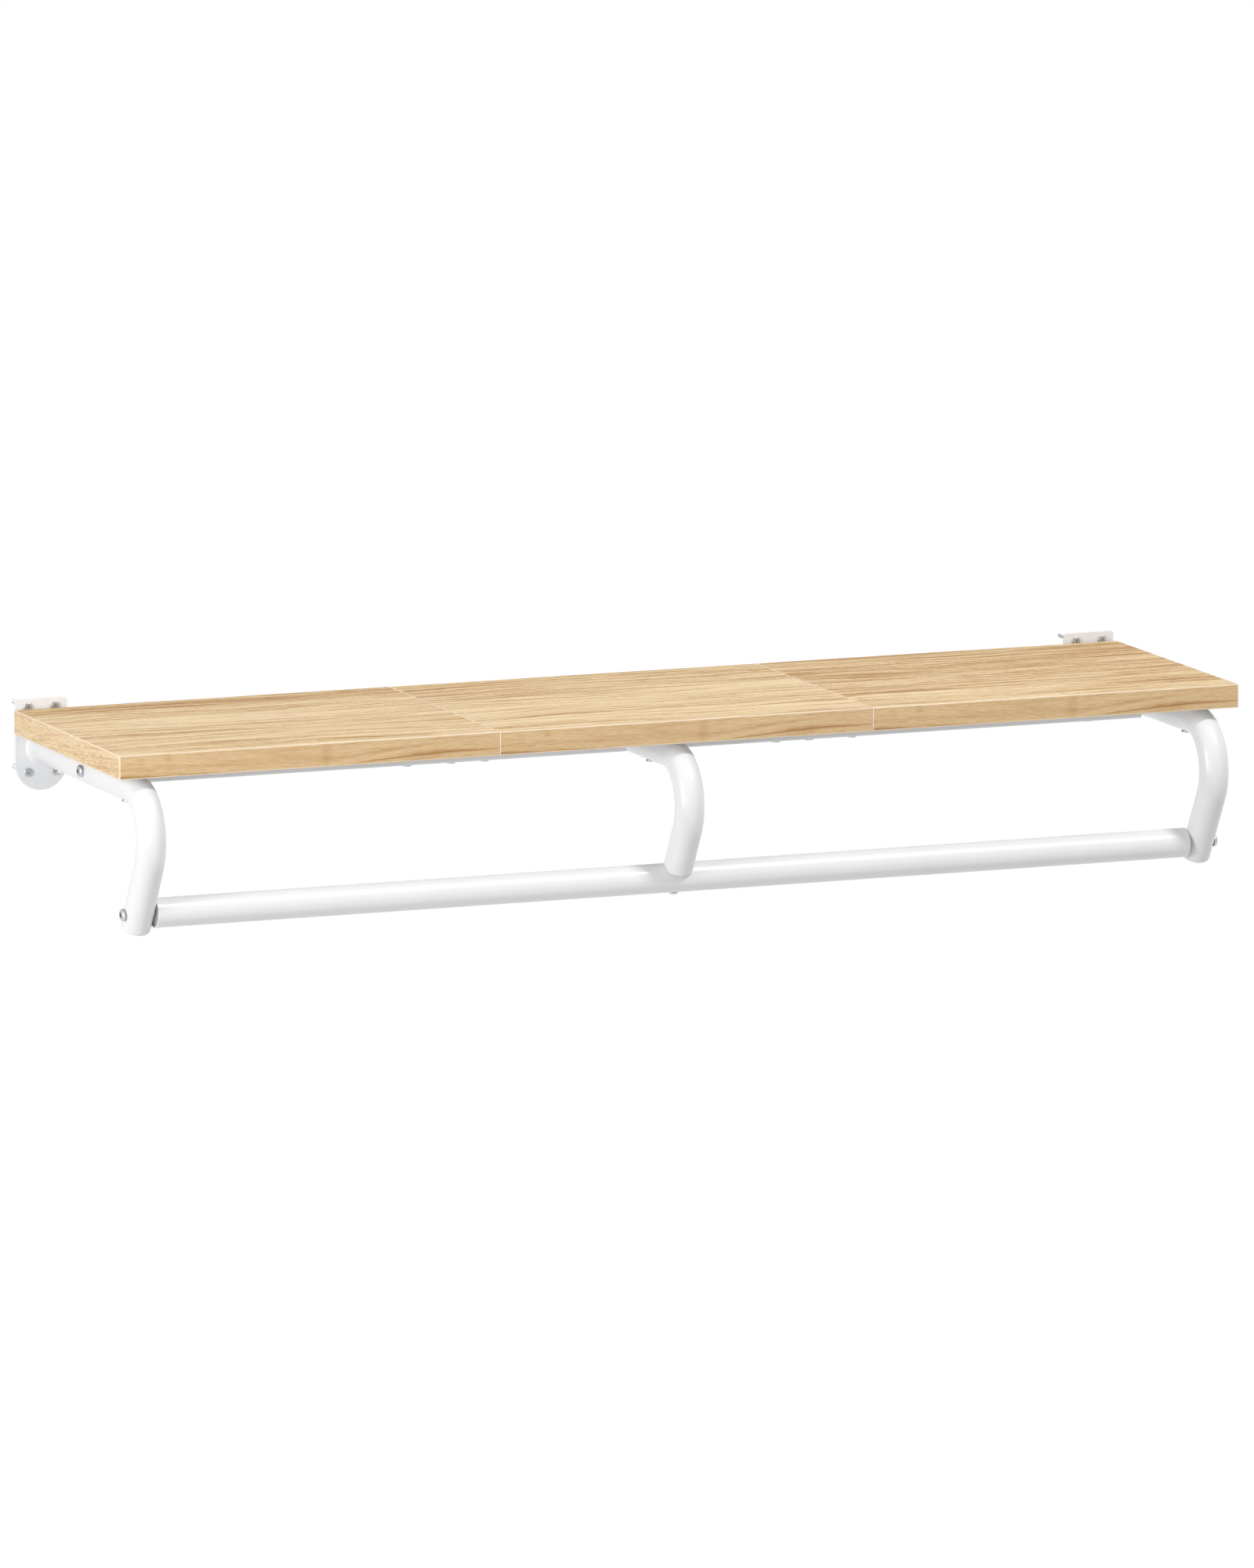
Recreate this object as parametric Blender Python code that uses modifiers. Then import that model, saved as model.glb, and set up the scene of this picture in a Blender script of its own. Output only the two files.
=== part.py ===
"""Wall shelf with a hanging rail.

Three oak boards lie side by side on two bent tube arms that are welded to wall plates. A box
section crossbar is bolted between the arms under the boards, and a round rail is bolted between
their lower ends. A shorter middle arm runs forward from the crossbar and sits on the rail.

Metres, +Z up, -Y to the front. The origin is on the wall, halfway along the shelf, level with
the top of the boards.
"""

import math

import bmesh
import bpy
from mathutils import Matrix, Vector

# Gaps between pieces
FIT = 0.0003                        # between two faces that touch
BORE_CLEARANCE = 0.00025            # round a shank in its hole and a plug in its tube
OVERRUN = 0.002                     # how far a drill runs past the wall it cuts

# Boards
SHELF_LENGTH = 1.000
BOARD_DEPTH = 0.254
BOARD_THICKNESS = 0.020
BOARD_EDGE_BEVEL = 0.0008
BOARD_NAMES = ("left", "middle", "right")

# Wall plates
PLATE_WIDTH = 0.046
PLATE_THICKNESS = 0.0025
PLATE_RISE = 0.0085                 # above the top of the boards
PLATE_CORNER_RADIUS = 0.003
PLATE_EDGE_BEVEL = 0.0004
PLATE_TOP_MARGIN = 0.007            # from the plate's top to its upper screws
PLATE_FOOT_MARGIN = 0.0155          # from its lower screws to its foot
WALL_SCREW_SPACING = 0.024          # across the plate
WALL_SCREW_DROP = 0.0082            # from the arm's underside to the lower screws

# Arms
ARM_DIAMETER = 0.025
ARM_WALL = 0.0015
ARM_INSET = 0.025                   # from the shelf's end to the arm's axis
ARM_OVERHANG = 0.0184               # how far the bend stands in front of the boards
BEND_RADIUS = 0.040                 # at the tube's axis
LOWER_RUN = 0.050                   # from the end of the bend to the rail's axis
LOWER_RUN_SLANT = math.radians(30)  # from upright, back towards the wall
ARM_TAIL = 0.0125                   # beyond the rail's axis
FRONT_SCREW_SETBACK = 0.018         # behind the start of the bend
REAR_SCREW_OFF_WALL = 0.049
MIDDLE_SCREW_SHARE = 0.57           # of the run from the bend back to the crossbar
SADDLE_DEPTH = 0.002                # how far the middle arm's end wraps the rail

# Crossbar
CROSSBAR_WIDTH = 0.020
CROSSBAR_HEIGHT = 0.0235
CROSSBAR_WALL = 0.0015
CROSSBAR_CORNER_RADIUS = 0.002
CROSSBAR_HEADROOM = 0.0003          # under the boards
CROSSBAR_PLACE_SHARE = 0.492        # of the boards' depth, from their front edge
SEAM_SCREW_OUTSIDE = 0.0335         # into the outer board
SEAM_SCREW_INSIDE = 0.0055          # into the middle board
SEAM_SCREW_FAR_INSIDE = 0.0355

# Rail
RAIL_DIAMETER = 0.025
RAIL_WALL = 0.0015

# Plugs with a threaded bore, and end caps
INSERT_LENGTH = 0.018
INSERT_RECESS = 0.001               # in from the tube's end
INSERT_CHAMFER = 0.0008
CAP_FLANGE = 0.0015
CAP_EDGE_RADIUS = 0.0008
CAP_SPIGOT_SHARE = 0.85             # of the room between the tube's end and the rail bolt

# Button head bolts
BOLT_DIAMETER = 0.006
BOLT_HEAD_DIAMETER = 0.0105
BOLT_HEAD_HEIGHT = 0.0031
BOLT_HEAD_RIM = 0.0006              # the straight edge under the dome
BOLT_SOCKET = 0.004                 # across flats
BOLT_SOCKET_DEPTH = 0.002
BOLT_TIP_CHAMFER = 0.0008
BOLT_BITE_SHARE = 0.70              # of the insert's length

# Pan head screws, into the boards and into the wall
SCREW_DIAMETER = 0.004
SCREW_HEAD_DIAMETER = 0.008
SCREW_HEAD_HEIGHT = 0.0023
SCREW_HEAD_RIM = 0.0009
SCREW_TIP = 0.005
WALL_SCREW_LENGTH = 0.040           # under the head
BOARD_SCREW_BITE_SHARE = 0.70       # of the boards' thickness

# Facets
TUBE_BEVEL_RESOLUTION = 10          # 24 sides
BEND_STEPS = 14
CORNER_STEPS = 3
SEMICIRCLE_STEPS = 20
TURNED_STEPS = 24
FASTENER_STEPS = 12
DOME_STEPS = 3
MERGE_DISTANCE = 0.00001

# Places that follow from the sizes
SHELF_END = SHELF_LENGTH / 2
BOARD_LENGTH = SHELF_LENGTH / len(BOARD_NAMES)
BOARDS_BACK = -(PLATE_THICKNESS + SCREW_HEAD_HEIGHT + 2 * FIT)
BOARDS_FRONT = BOARDS_BACK - BOARD_DEPTH
ARM_RADIUS = ARM_DIAMETER / 2
ARM_BORE = ARM_RADIUS - ARM_WALL
ARM_X = SHELF_END - ARM_INSET
ARM_Z = -(BOARD_THICKNESS + FIT + ARM_RADIUS)
BEND_CENTRE = Vector((BOARDS_FRONT - ARM_OVERHANG + ARM_RADIUS + BEND_RADIUS, ARM_Z - BEND_RADIUS))
BEND_TURN = math.pi / 2 + LOWER_RUN_SLANT
DOWN_ARM = Vector((0, math.sin(LOWER_RUN_SLANT), -math.cos(LOWER_RUN_SLANT)))
RAIL_RADIUS = RAIL_DIAMETER / 2
RAIL_BORE = RAIL_RADIUS - RAIL_WALL
RAIL_END = ARM_X - ARM_RADIUS - FIT
CROSSBAR_Y = BOARDS_FRONT + CROSSBAR_PLACE_SHARE * BOARD_DEPTH
CROSSBAR_TOP = -(BOARD_THICKNESS + CROSSBAR_HEADROOM)
CROSSBAR_Z = CROSSBAR_TOP - CROSSBAR_HEIGHT / 2
CROSSBAR_FRONT = CROSSBAR_Y - CROSSBAR_WIDTH / 2
CROSSBAR_END = ARM_X - ARM_RADIUS - FIT
BOLT_BITE = INSERT_RECESS + BOLT_BITE_SHARE * INSERT_LENGTH
BOARD_SCREW_BITE = BOARD_SCREW_BITE_SHARE * BOARD_THICKNESS
LOWER_WALL_SCREW_Z = ARM_Z - ARM_RADIUS - WALL_SCREW_DROP
UPPER_WALL_SCREW_Z = PLATE_RISE - PLATE_TOP_MARGIN
PLATE_FOOT = LOWER_WALL_SCREW_Z - PLATE_FOOT_MARGIN

SIDES = (("left", -1), ("right", 1))


def clear_scene():
    for obj in list(bpy.data.objects):
        bpy.data.objects.remove(obj, do_unlink=True)


def new_collection(name):
    made = bpy.data.collections.new(name)
    bpy.context.scene.collection.children.link(made)
    return made


clear_scene()
PARTS = new_collection("wall_shelf_with_rail")
CUTTERS = new_collection("cutters")
FRAME = bpy.data.objects.new("wall_shelf", None)
PARTS.objects.link(FRAME)


def finish(name, colour, roughness, metallic):
    """A plain material for one finish."""
    made = bpy.data.materials.new(name)
    made.use_nodes = True
    shader = made.node_tree.nodes["Principled BSDF"]
    shader.inputs["Base Color"].default_value = (*colour, 1)
    shader.inputs["Roughness"].default_value = roughness
    shader.inputs["Metallic"].default_value = metallic
    return made


OAK = finish("light_oak_laminate", (0.80, 0.60, 0.37), 0.5, 0)
WHITE_COAT = finish("white_powder_coat", (0.86, 0.86, 0.86), 0.35, 0)
WHITE_PLASTIC = finish("white_plastic", (0.83, 0.83, 0.83), 0.45, 0)
GREY_NYLON = finish("grey_nylon", (0.30, 0.30, 0.30), 0.5, 0)
ZINC = finish("zinc_plated_steel", (0.62, 0.62, 0.63), 0.3, 1)


def matrix_along(place, direction):
    """Turns local +Z to the direction, at the place."""
    turn = Vector(direction).to_track_quat("Z", "Y")
    return Matrix.Translation(place) @ turn.to_matrix().to_4x4()


def add_part(name, mesh, material, matrix=None):
    """One named piece of the shelf, shaded smooth with its sharp edges kept."""
    obj = bpy.data.objects.new(name, mesh)
    PARTS.objects.link(obj)
    if not mesh.materials:
        mesh.materials.append(material)
    if mesh.polygons:
        mesh.shade_smooth()
        mesh.set_sharp_from_angle(angle=math.radians(40))
    obj.parent = FRAME
    if matrix is not None:
        obj.matrix_world = matrix
    return obj


def mesh_from(name, shape):
    mesh = bpy.data.meshes.new(name)
    shape.to_mesh(mesh)
    shape.free()
    return mesh


def curve_to_mesh(name, curve, matrix=None):
    """The mesh of a curve, its loose caps welded on, moved to its place."""
    path = bpy.data.objects.new(f"{name}_curve", curve)
    PARTS.objects.link(path)
    graph = bpy.context.evaluated_depsgraph_get()
    mesh = bpy.data.meshes.new_from_object(path.evaluated_get(graph))
    bpy.data.objects.remove(path, do_unlink=True)
    shape = bmesh.new()
    shape.from_mesh(mesh)
    bmesh.ops.remove_doubles(shape, verts=shape.verts, dist=MERGE_DISTANCE)
    if matrix is not None:
        shape.transform(matrix)
    shape.to_mesh(mesh)
    shape.free()
    mesh.name = name
    return mesh


def add_drills(target, holes, name="drills"):
    """Cuts round holes, each given by its two ends and its radius."""
    shape = bmesh.new()
    for start, end, radius in holes:
        axis = Vector(end) - Vector(start)
        middle = (Vector(start) + Vector(end)) / 2
        bmesh.ops.create_cone(
            shape, segments=FASTENER_STEPS, radius1=radius, radius2=radius, depth=axis.length,
            cap_ends=True, matrix=matrix_along(middle, axis),
        )
    add_cut(target, mesh_from(f"{target.name}_{name}", shape), name)


def add_cut(target, mesh, name):
    cutter = bpy.data.objects.new(mesh.name, mesh)
    CUTTERS.objects.link(cutter)
    cutter.hide_render = True
    cutter.display_type = "WIRE"
    cut = target.modifiers.new(name, "BOOLEAN")
    cut.operation = "DIFFERENCE"
    cut.solver = "EXACT"
    cut.object = cutter


def arc(centre, radius, start, end, steps):
    """Points of an arc in a plane, both ends included, with its angles in radians."""
    turn = (end - start) / steps
    return [
        (
            centre[0] + radius * math.cos(start + turn * step),
            centre[1] + radius * math.sin(start + turn * step),
        )
        for step in range(steps + 1)
    ]


def rounded_rectangle(width, height, radius):
    """A rectangle's outline with round corners, anticlockwise round the origin."""
    points = []
    quarter = math.pi / 2
    corners = ((1, 1), (-1, 1), (-1, -1), (1, -1))
    for number, (right, up) in enumerate(corners):
        centre = (right * (width / 2 - radius), up * (height / 2 - radius))
        points += arc(centre, radius, number * quarter, (number + 1) * quarter, CORNER_STEPS)
    return points


def extruded(name, outlines, thickness, matrix):
    """A flat outline, with any holes as further outlines, given a thickness about its plane."""
    curve = bpy.data.curves.new(f"{name}_outline", "CURVE")
    curve.dimensions = "2D"
    curve.fill_mode = "BOTH"
    curve.extrude = thickness / 2
    for outline in outlines:
        spline = curve.splines.new("POLY")
        spline.points.add(len(outline) - 1)
        for point, place in zip(spline.points, outline):
            point.co = (place[0], place[1], 0, 1)
        spline.use_cyclic_u = True
    return curve_to_mesh(name, curve, matrix)


def add_tube(name, points, diameter, wall, material):
    """A round tube along the points: a bevelled curve with open ends, given its wall."""
    curve = bpy.data.curves.new(f"{name}_axis", "CURVE")
    curve.dimensions = "3D"
    curve.bevel_depth = diameter / 2
    curve.bevel_resolution = TUBE_BEVEL_RESOLUTION
    curve.use_fill_caps = False
    spline = curve.splines.new("POLY")
    spline.points.add(len(points) - 1)
    for point, place in zip(spline.points, points):
        point.co = (*place, 1)
    tube = add_part(name, curve_to_mesh(name, curve), material)
    solidify = tube.modifiers.new("wall", "SOLIDIFY")
    solidify.thickness = wall
    solidify.offset = -1
    solidify.use_even_offset = True
    solidify.use_rim = True
    return tube


def add_turned(name, profile, material, matrix, steps, ring=False):
    """A turned piece: half its outline, down the outer side, spun about its axis."""
    shape = bmesh.new()
    corners = [shape.verts.new((radius, 0, height)) for radius, height in profile]
    for one, other in zip(corners, corners[1:]):
        shape.edges.new((one, other))
    if ring:
        shape.edges.new((corners[-1], corners[0]))
    turned = add_part(name, mesh_from(name, shape), material, matrix)
    spin = turned.modifiers.new("spin", "SCREW")
    spin.axis = "Z"
    spin.angle = math.tau
    spin.steps = steps
    spin.render_steps = steps
    spin.use_merge_vertices = True
    spin.merge_threshold = MERGE_DISTANCE
    spin.use_smooth_shade = True
    return turned


def dome(head_radius, head_height, rim):
    """The side of a domed head, from its flat crown down to its rim."""
    crown_radius = head_radius / 2
    rise = head_height - rim
    points = []
    for step in range(DOME_STEPS + 1):
        angle = math.pi / 2 * (1 - step / DOME_STEPS)
        radius = crown_radius + (head_radius - crown_radius) * math.cos(angle)
        points.append((radius, rim + rise * math.sin(angle)))
    return points


def add_bolt(name, seat, direction, grip):
    """A button head bolt: its head rests on the seat, and its shank runs along the direction."""
    matrix = matrix_along(Vector(seat) - FIT * Vector(direction), -Vector(direction))
    radius = BOLT_DIAMETER / 2
    length = FIT + grip + BOLT_BITE
    profile = [(0, BOLT_HEAD_HEIGHT)]
    profile += dome(BOLT_HEAD_DIAMETER / 2, BOLT_HEAD_HEIGHT, BOLT_HEAD_RIM)
    profile += [(BOLT_HEAD_DIAMETER / 2, 0), (radius, 0), (radius, BOLT_TIP_CHAMFER - length)]
    profile += [(radius - BOLT_TIP_CHAMFER, -length), (0, -length)]
    bolt = add_turned(name, profile, ZINC, matrix, FASTENER_STEPS)
    hexagon = bmesh.new()
    depth = BOLT_SOCKET_DEPTH + OVERRUN
    middle = BOLT_HEAD_HEIGHT - BOLT_SOCKET_DEPTH + depth / 2
    across_corners = BOLT_SOCKET / math.cos(math.pi / 6)
    bmesh.ops.create_cone(
        hexagon, segments=6, radius1=across_corners / 2, radius2=across_corners / 2, depth=depth,
        cap_ends=True, matrix=matrix @ Matrix.Translation((0, 0, middle)),
    )
    add_cut(bolt, mesh_from(f"{name}_socket", hexagon), "socket")


def add_screw(name, seat, direction, length):
    """A pan head screw: its head rests on the seat, and its point lies at the length beyond it."""
    matrix = matrix_along(Vector(seat) - FIT * Vector(direction), -Vector(direction))
    radius = SCREW_DIAMETER / 2
    profile = [(0, SCREW_HEAD_HEIGHT)]
    profile += dome(SCREW_HEAD_DIAMETER / 2, SCREW_HEAD_HEIGHT, SCREW_HEAD_RIM)
    profile += [(SCREW_HEAD_DIAMETER / 2, 0), (radius, 0)]
    profile += [(radius, SCREW_TIP - length - FIT), (0, -length - FIT)]
    add_turned(name, profile, ZINC, matrix, FASTENER_STEPS)


def add_insert(name, mouth, inward, bore):
    """A turned plug with a threaded bore, a little in from a round tube's mouth."""
    outer = bore - BORE_CLEARANCE
    inner = BOLT_DIAMETER / 2 + BORE_CLEARANCE
    profile = [
        (outer - INSERT_CHAMFER, 0),
        (outer, -INSERT_CHAMFER),
        (outer, INSERT_CHAMFER - INSERT_LENGTH),
        (outer - INSERT_CHAMFER, -INSERT_LENGTH),
        (inner, -INSERT_LENGTH),
        (inner, 0),
    ]
    place = Vector(mouth) + INSERT_RECESS * Vector(inward)
    matrix = matrix_along(place, -Vector(inward))
    add_turned(name, profile, GREY_NYLON, matrix, TURNED_STEPS, ring=True)


def bend_points(side_x):
    """The bend's axis, from level to slanted, and the point where it ends."""
    arc_points = arc(BEND_CENTRE, BEND_RADIUS, math.pi / 2, math.pi / 2 + BEND_TURN, BEND_STEPS)
    return [Vector((side_x, y, z)) for y, z in arc_points]


def rail_centre(side_x):
    return bend_points(side_x)[-1] + LOWER_RUN * DOWN_ARM


# The rail's axis, and the mouth of the middle arm that faces it
RAIL_MIDDLE = rail_centre(0)
MIDDLE_MOUTH = RAIL_MIDDLE - (RAIL_RADIUS + FIT) * DOWN_ARM
MIDDLE_ARM_REAR = Vector((0, CROSSBAR_FRONT - FIT, ARM_Z))


def board_screw_places():
    """Every screw that enters a board from below: its name, its place and its seat's height."""
    under_arm = ARM_Z - ARM_RADIUS
    front_y = BEND_CENTRE[0] + FRONT_SCREW_SETBACK
    middle_y = BEND_CENTRE[0] + MIDDLE_SCREW_SHARE * (CROSSBAR_FRONT - BEND_CENTRE[0])
    places = [("arm_screw_middle", 0, middle_y, under_arm)]
    for side, sign in SIDES:
        places.append((f"arm_screw_{side}_front", sign * ARM_X, front_y, under_arm))
        places.append((f"arm_screw_{side}_rear", sign * ARM_X, -REAR_SCREW_OFF_WALL, under_arm))
    seam_x = SHELF_END - BOARD_LENGTH
    seats = (seam_x + SEAM_SCREW_OUTSIDE, seam_x - SEAM_SCREW_INSIDE, seam_x - SEAM_SCREW_FAR_INSIDE)
    for side, sign in SIDES:
        for number, x in enumerate(seats, 1):
            name = f"crossbar_screw_{side}_{number}"
            places.append((name, sign * x, CROSSBAR_Y, CROSSBAR_Z - CROSSBAR_HEIGHT / 2))
    return places


def screw_holes(x, y, low, high):
    """A clearance hole for a board screw, upright between two heights."""
    return (Vector((x, y, low)), Vector((x, y, high)), SCREW_DIAMETER / 2 + BORE_CLEARANCE)


def add_boards():
    """Three equal boards with a small bevel, each with blind pilot holes in its underside."""
    for number, side in enumerate(BOARD_NAMES):
        left = -SHELF_END + number * BOARD_LENGTH
        low = Vector((left + (FIT / 2 if number else 0), BOARDS_FRONT, -BOARD_THICKNESS))
        last = number == len(BOARD_NAMES) - 1
        high = Vector((left + BOARD_LENGTH - (0 if last else FIT / 2), BOARDS_BACK, 0))
        shape = bmesh.new()
        place = Matrix.Translation((low + high) / 2)
        bmesh.ops.create_cube(shape, size=1, matrix=place @ Matrix.Diagonal((*(high - low), 1)))
        board = add_part(f"board_{side}", mesh_from(f"board_{side}", shape), OAK)
        bevel = board.modifiers.new("edges", "BEVEL")
        bevel.width = BOARD_EDGE_BEVEL
        bevel.segments = 2
        top = BOARD_SCREW_BITE - BOARD_THICKNESS + BORE_CLEARANCE
        pilots = [
            screw_holes(x, y, -BOARD_THICKNESS - OVERRUN, top)
            for _, x, y, _ in board_screw_places() if low[0] < x < high[0]
        ]
        add_drills(board, pilots, "pilots")


def add_plates():
    """A wall plate with round top corners and a half round foot, and its four wall screws."""
    half_width = PLATE_WIDTH / 2
    foot_z = PLATE_FOOT + half_width
    corner_x = half_width - PLATE_CORNER_RADIUS
    corner_z = PLATE_RISE - PLATE_CORNER_RADIUS
    outline = arc((corner_x, corner_z), PLATE_CORNER_RADIUS, 0, math.pi / 2, CORNER_STEPS)
    outline += arc((-corner_x, corner_z), PLATE_CORNER_RADIUS, math.pi / 2, math.pi, CORNER_STEPS)
    outline += arc((0, foot_z), half_width, math.pi, math.tau, SEMICIRCLE_STEPS)
    for side, sign in SIDES:
        x = sign * ARM_X
        upright = Matrix.Translation((x, -PLATE_THICKNESS / 2, 0)) @ Matrix.Rotation(math.pi / 2, 4, "X")
        name = f"wall_plate_{side}"
        plate = add_part(name, extruded(name, [outline], PLATE_THICKNESS, upright), WHITE_COAT)
        bevel = plate.modifiers.new("edges", "BEVEL")
        bevel.width = PLATE_EDGE_BEVEL
        bevel.segments = 1
        bevel.angle_limit = math.radians(60)
        holes = []
        rows = (("upper", UPPER_WALL_SCREW_Z), ("lower", LOWER_WALL_SCREW_Z))
        for row, z in rows:
            for column, across in SIDES:
                screw_x = x + across * WALL_SCREW_SPACING / 2
                add_screw(
                    f"wall_screw_{side}_{row}_{column}", (screw_x, -PLATE_THICKNESS, z), (0, 1, 0),
                    WALL_SCREW_LENGTH,
                )
                holes.append((
                    Vector((screw_x, -PLATE_THICKNESS - OVERRUN, z)), Vector((screw_x, OVERRUN, z)),
                    SCREW_DIAMETER / 2 + BORE_CLEARANCE,
                ))
        add_drills(plate, holes, "screw_holes")


def board_screw_holes_in_arm(name_start):
    """The holes that a board screw needs, right through an arm."""
    low = ARM_Z - ARM_RADIUS - OVERRUN
    high = ARM_Z + ARM_RADIUS + OVERRUN
    return [
        screw_holes(x, y, low, high)
        for name, x, y, _ in board_screw_places() if name.startswith(name_start)
    ]


def bolt_hole(middle, direction, half_span):
    """A clearance hole for a bolt, as long on either side of its middle."""
    reach = half_span * Vector(direction)
    return (Vector(middle) - reach, Vector(middle) + reach, BOLT_DIAMETER / 2 + BORE_CLEARANCE)


def add_outer_arms():
    """The left and right arms, from the wall plate to beyond the rail, drilled for their bolts."""
    for side, sign in SIDES:
        x = sign * ARM_X
        rail_place = rail_centre(x)
        points = [Vector((x, -PLATE_THICKNESS - FIT, ARM_Z))]
        points += bend_points(x)
        points += [rail_place + ARM_TAIL * DOWN_ARM]
        arm = add_tube(f"arm_{side}", points, ARM_DIAMETER, ARM_WALL, WHITE_COAT)
        span = ARM_RADIUS + OVERRUN
        holes = board_screw_holes_in_arm(f"arm_screw_{side}")
        holes.append(bolt_hole(rail_place, (1, 0, 0), span))
        holes.append(bolt_hole((x, CROSSBAR_Y, CROSSBAR_Z), (1, 0, 0), span))
        add_drills(arm, holes)


def add_middle_arm():
    """The middle arm, from the crossbar's front to a shallow saddle on the rail."""
    mouth = MIDDLE_MOUTH + SADDLE_DEPTH * DOWN_ARM
    points = [MIDDLE_ARM_REAR] + bend_points(0) + [mouth]
    arm = add_tube("arm_middle", points, ARM_DIAMETER, ARM_WALL, WHITE_COAT)
    saddle = bmesh.new()
    radius = RAIL_RADIUS + FIT
    bmesh.ops.create_cone(
        saddle, segments=2 * TURNED_STEPS, radius1=radius, radius2=radius, depth=2 * ARM_DIAMETER,
        cap_ends=True, matrix=matrix_along(RAIL_MIDDLE, (1, 0, 0)),
    )
    add_cut(arm, mesh_from("arm_middle_saddle", saddle), "saddle")
    add_drills(arm, board_screw_holes_in_arm("arm_screw_middle"))


def add_crossbar():
    """A box tube between the outer arms, drilled for the board screws and the middle arm's bolt."""
    outer = rounded_rectangle(CROSSBAR_WIDTH, CROSSBAR_HEIGHT, CROSSBAR_CORNER_RADIUS)
    inner_corner = CROSSBAR_CORNER_RADIUS / 2
    inner_width = CROSSBAR_WIDTH - 2 * CROSSBAR_WALL
    inner_height = CROSSBAR_HEIGHT - 2 * CROSSBAR_WALL
    inner = rounded_rectangle(inner_width, inner_height, inner_corner)
    along = Matrix.Translation((0, CROSSBAR_Y, CROSSBAR_Z)) @ Matrix.Rotation(math.pi / 2, 4, "Y")
    along = along @ Matrix.Rotation(math.pi / 2, 4, "Z")
    mesh = extruded("crossbar", [outer, inner], 2 * CROSSBAR_END, along)
    crossbar = add_part("crossbar", mesh, WHITE_COAT)
    low = CROSSBAR_Z - CROSSBAR_HEIGHT / 2 - OVERRUN
    holes = [
        screw_holes(x, y, low, CROSSBAR_TOP + OVERRUN)
        for name, x, y, _ in board_screw_places() if name.startswith("crossbar_screw")
    ]
    holes.append(bolt_hole((0, CROSSBAR_Y, ARM_Z), (0, 1, 0), CROSSBAR_WIDTH / 2 + OVERRUN))
    add_drills(crossbar, holes)


def add_rail():
    """The hanging rail between the outer arms, drilled on the middle arm's slant."""
    ends = [RAIL_MIDDLE + Vector((sign * RAIL_END, 0, 0)) for _, sign in SIDES]
    rail = add_tube("rail", ends, RAIL_DIAMETER, RAIL_WALL, WHITE_COAT)
    add_drills(rail, [bolt_hole(RAIL_MIDDLE, DOWN_ARM, RAIL_RADIUS + OVERRUN)])


def add_box_insert(name, mouth, inward):
    """A box shaped plug with a threaded bore, a little in from the crossbar's end."""
    clear = 2 * (CROSSBAR_WALL + BORE_CLEARANCE)
    size = Vector((INSERT_LENGTH, CROSSBAR_WIDTH - clear, CROSSBAR_HEIGHT - clear))
    middle = Vector(mouth) + (INSERT_RECESS + INSERT_LENGTH / 2) * Vector(inward)
    shape = bmesh.new()
    bmesh.ops.create_cube(shape, size=1, matrix=Matrix.Translation(middle) @ Matrix.Diagonal((*size, 1)))
    insert = add_part(name, mesh_from(name, shape), GREY_NYLON)
    bevel = insert.modifiers.new("edges", "BEVEL")
    bevel.width = INSERT_CHAMFER
    bevel.segments = 1
    add_drills(insert, [bolt_hole(middle, inward, INSERT_LENGTH / 2 + OVERRUN)], "bore")


def add_inserts():
    """The plugs that the bolts screw into: in the rail, the crossbar and the middle arm's two ends."""
    for side, sign in SIDES:
        inward = Vector((-sign, 0, 0))
        add_insert(f"rail_insert_{side}", RAIL_MIDDLE - RAIL_END * inward, inward, RAIL_BORE)
        mouth = Vector((sign * CROSSBAR_END, CROSSBAR_Y, CROSSBAR_Z))
        add_box_insert(f"crossbar_insert_{side}", mouth, inward)
    add_insert("arm_insert_middle_front", MIDDLE_MOUTH, -DOWN_ARM, ARM_BORE)
    add_insert("arm_insert_middle_rear", MIDDLE_ARM_REAR, (0, -1, 0), ARM_BORE)


def add_bolts():
    """Bolts through the outer arms into the rail and the crossbar, and the middle arm's own two."""
    for side, sign in SIDES:
        inward = Vector((-sign, 0, 0))
        outer_face = sign * (ARM_X + ARM_RADIUS)
        grip = ARM_DIAMETER + FIT
        seat = (outer_face, RAIL_MIDDLE.y, RAIL_MIDDLE.z)
        add_bolt(f"rail_bolt_{side}", seat, inward, grip)
        add_bolt(f"crossbar_bolt_{side}", (outer_face, CROSSBAR_Y, CROSSBAR_Z), inward, grip)
    under_rail = RAIL_MIDDLE + RAIL_RADIUS * DOWN_ARM
    add_bolt("middle_rail_bolt", under_rail, -DOWN_ARM, RAIL_DIAMETER + FIT)
    behind_bar = (0, CROSSBAR_Y + CROSSBAR_WIDTH / 2, ARM_Z)
    add_bolt("middle_crossbar_bolt", behind_bar, (0, -1, 0), CROSSBAR_WIDTH + FIT)


def add_board_screws():
    """The screws that hold the boards down on the arms and on the crossbar."""
    tip = BOARD_SCREW_BITE - BOARD_THICKNESS
    for name, x, y, seat_z in board_screw_places():
        add_screw(name, (x, y, seat_z), (0, 0, 1), tip - seat_z)


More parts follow.
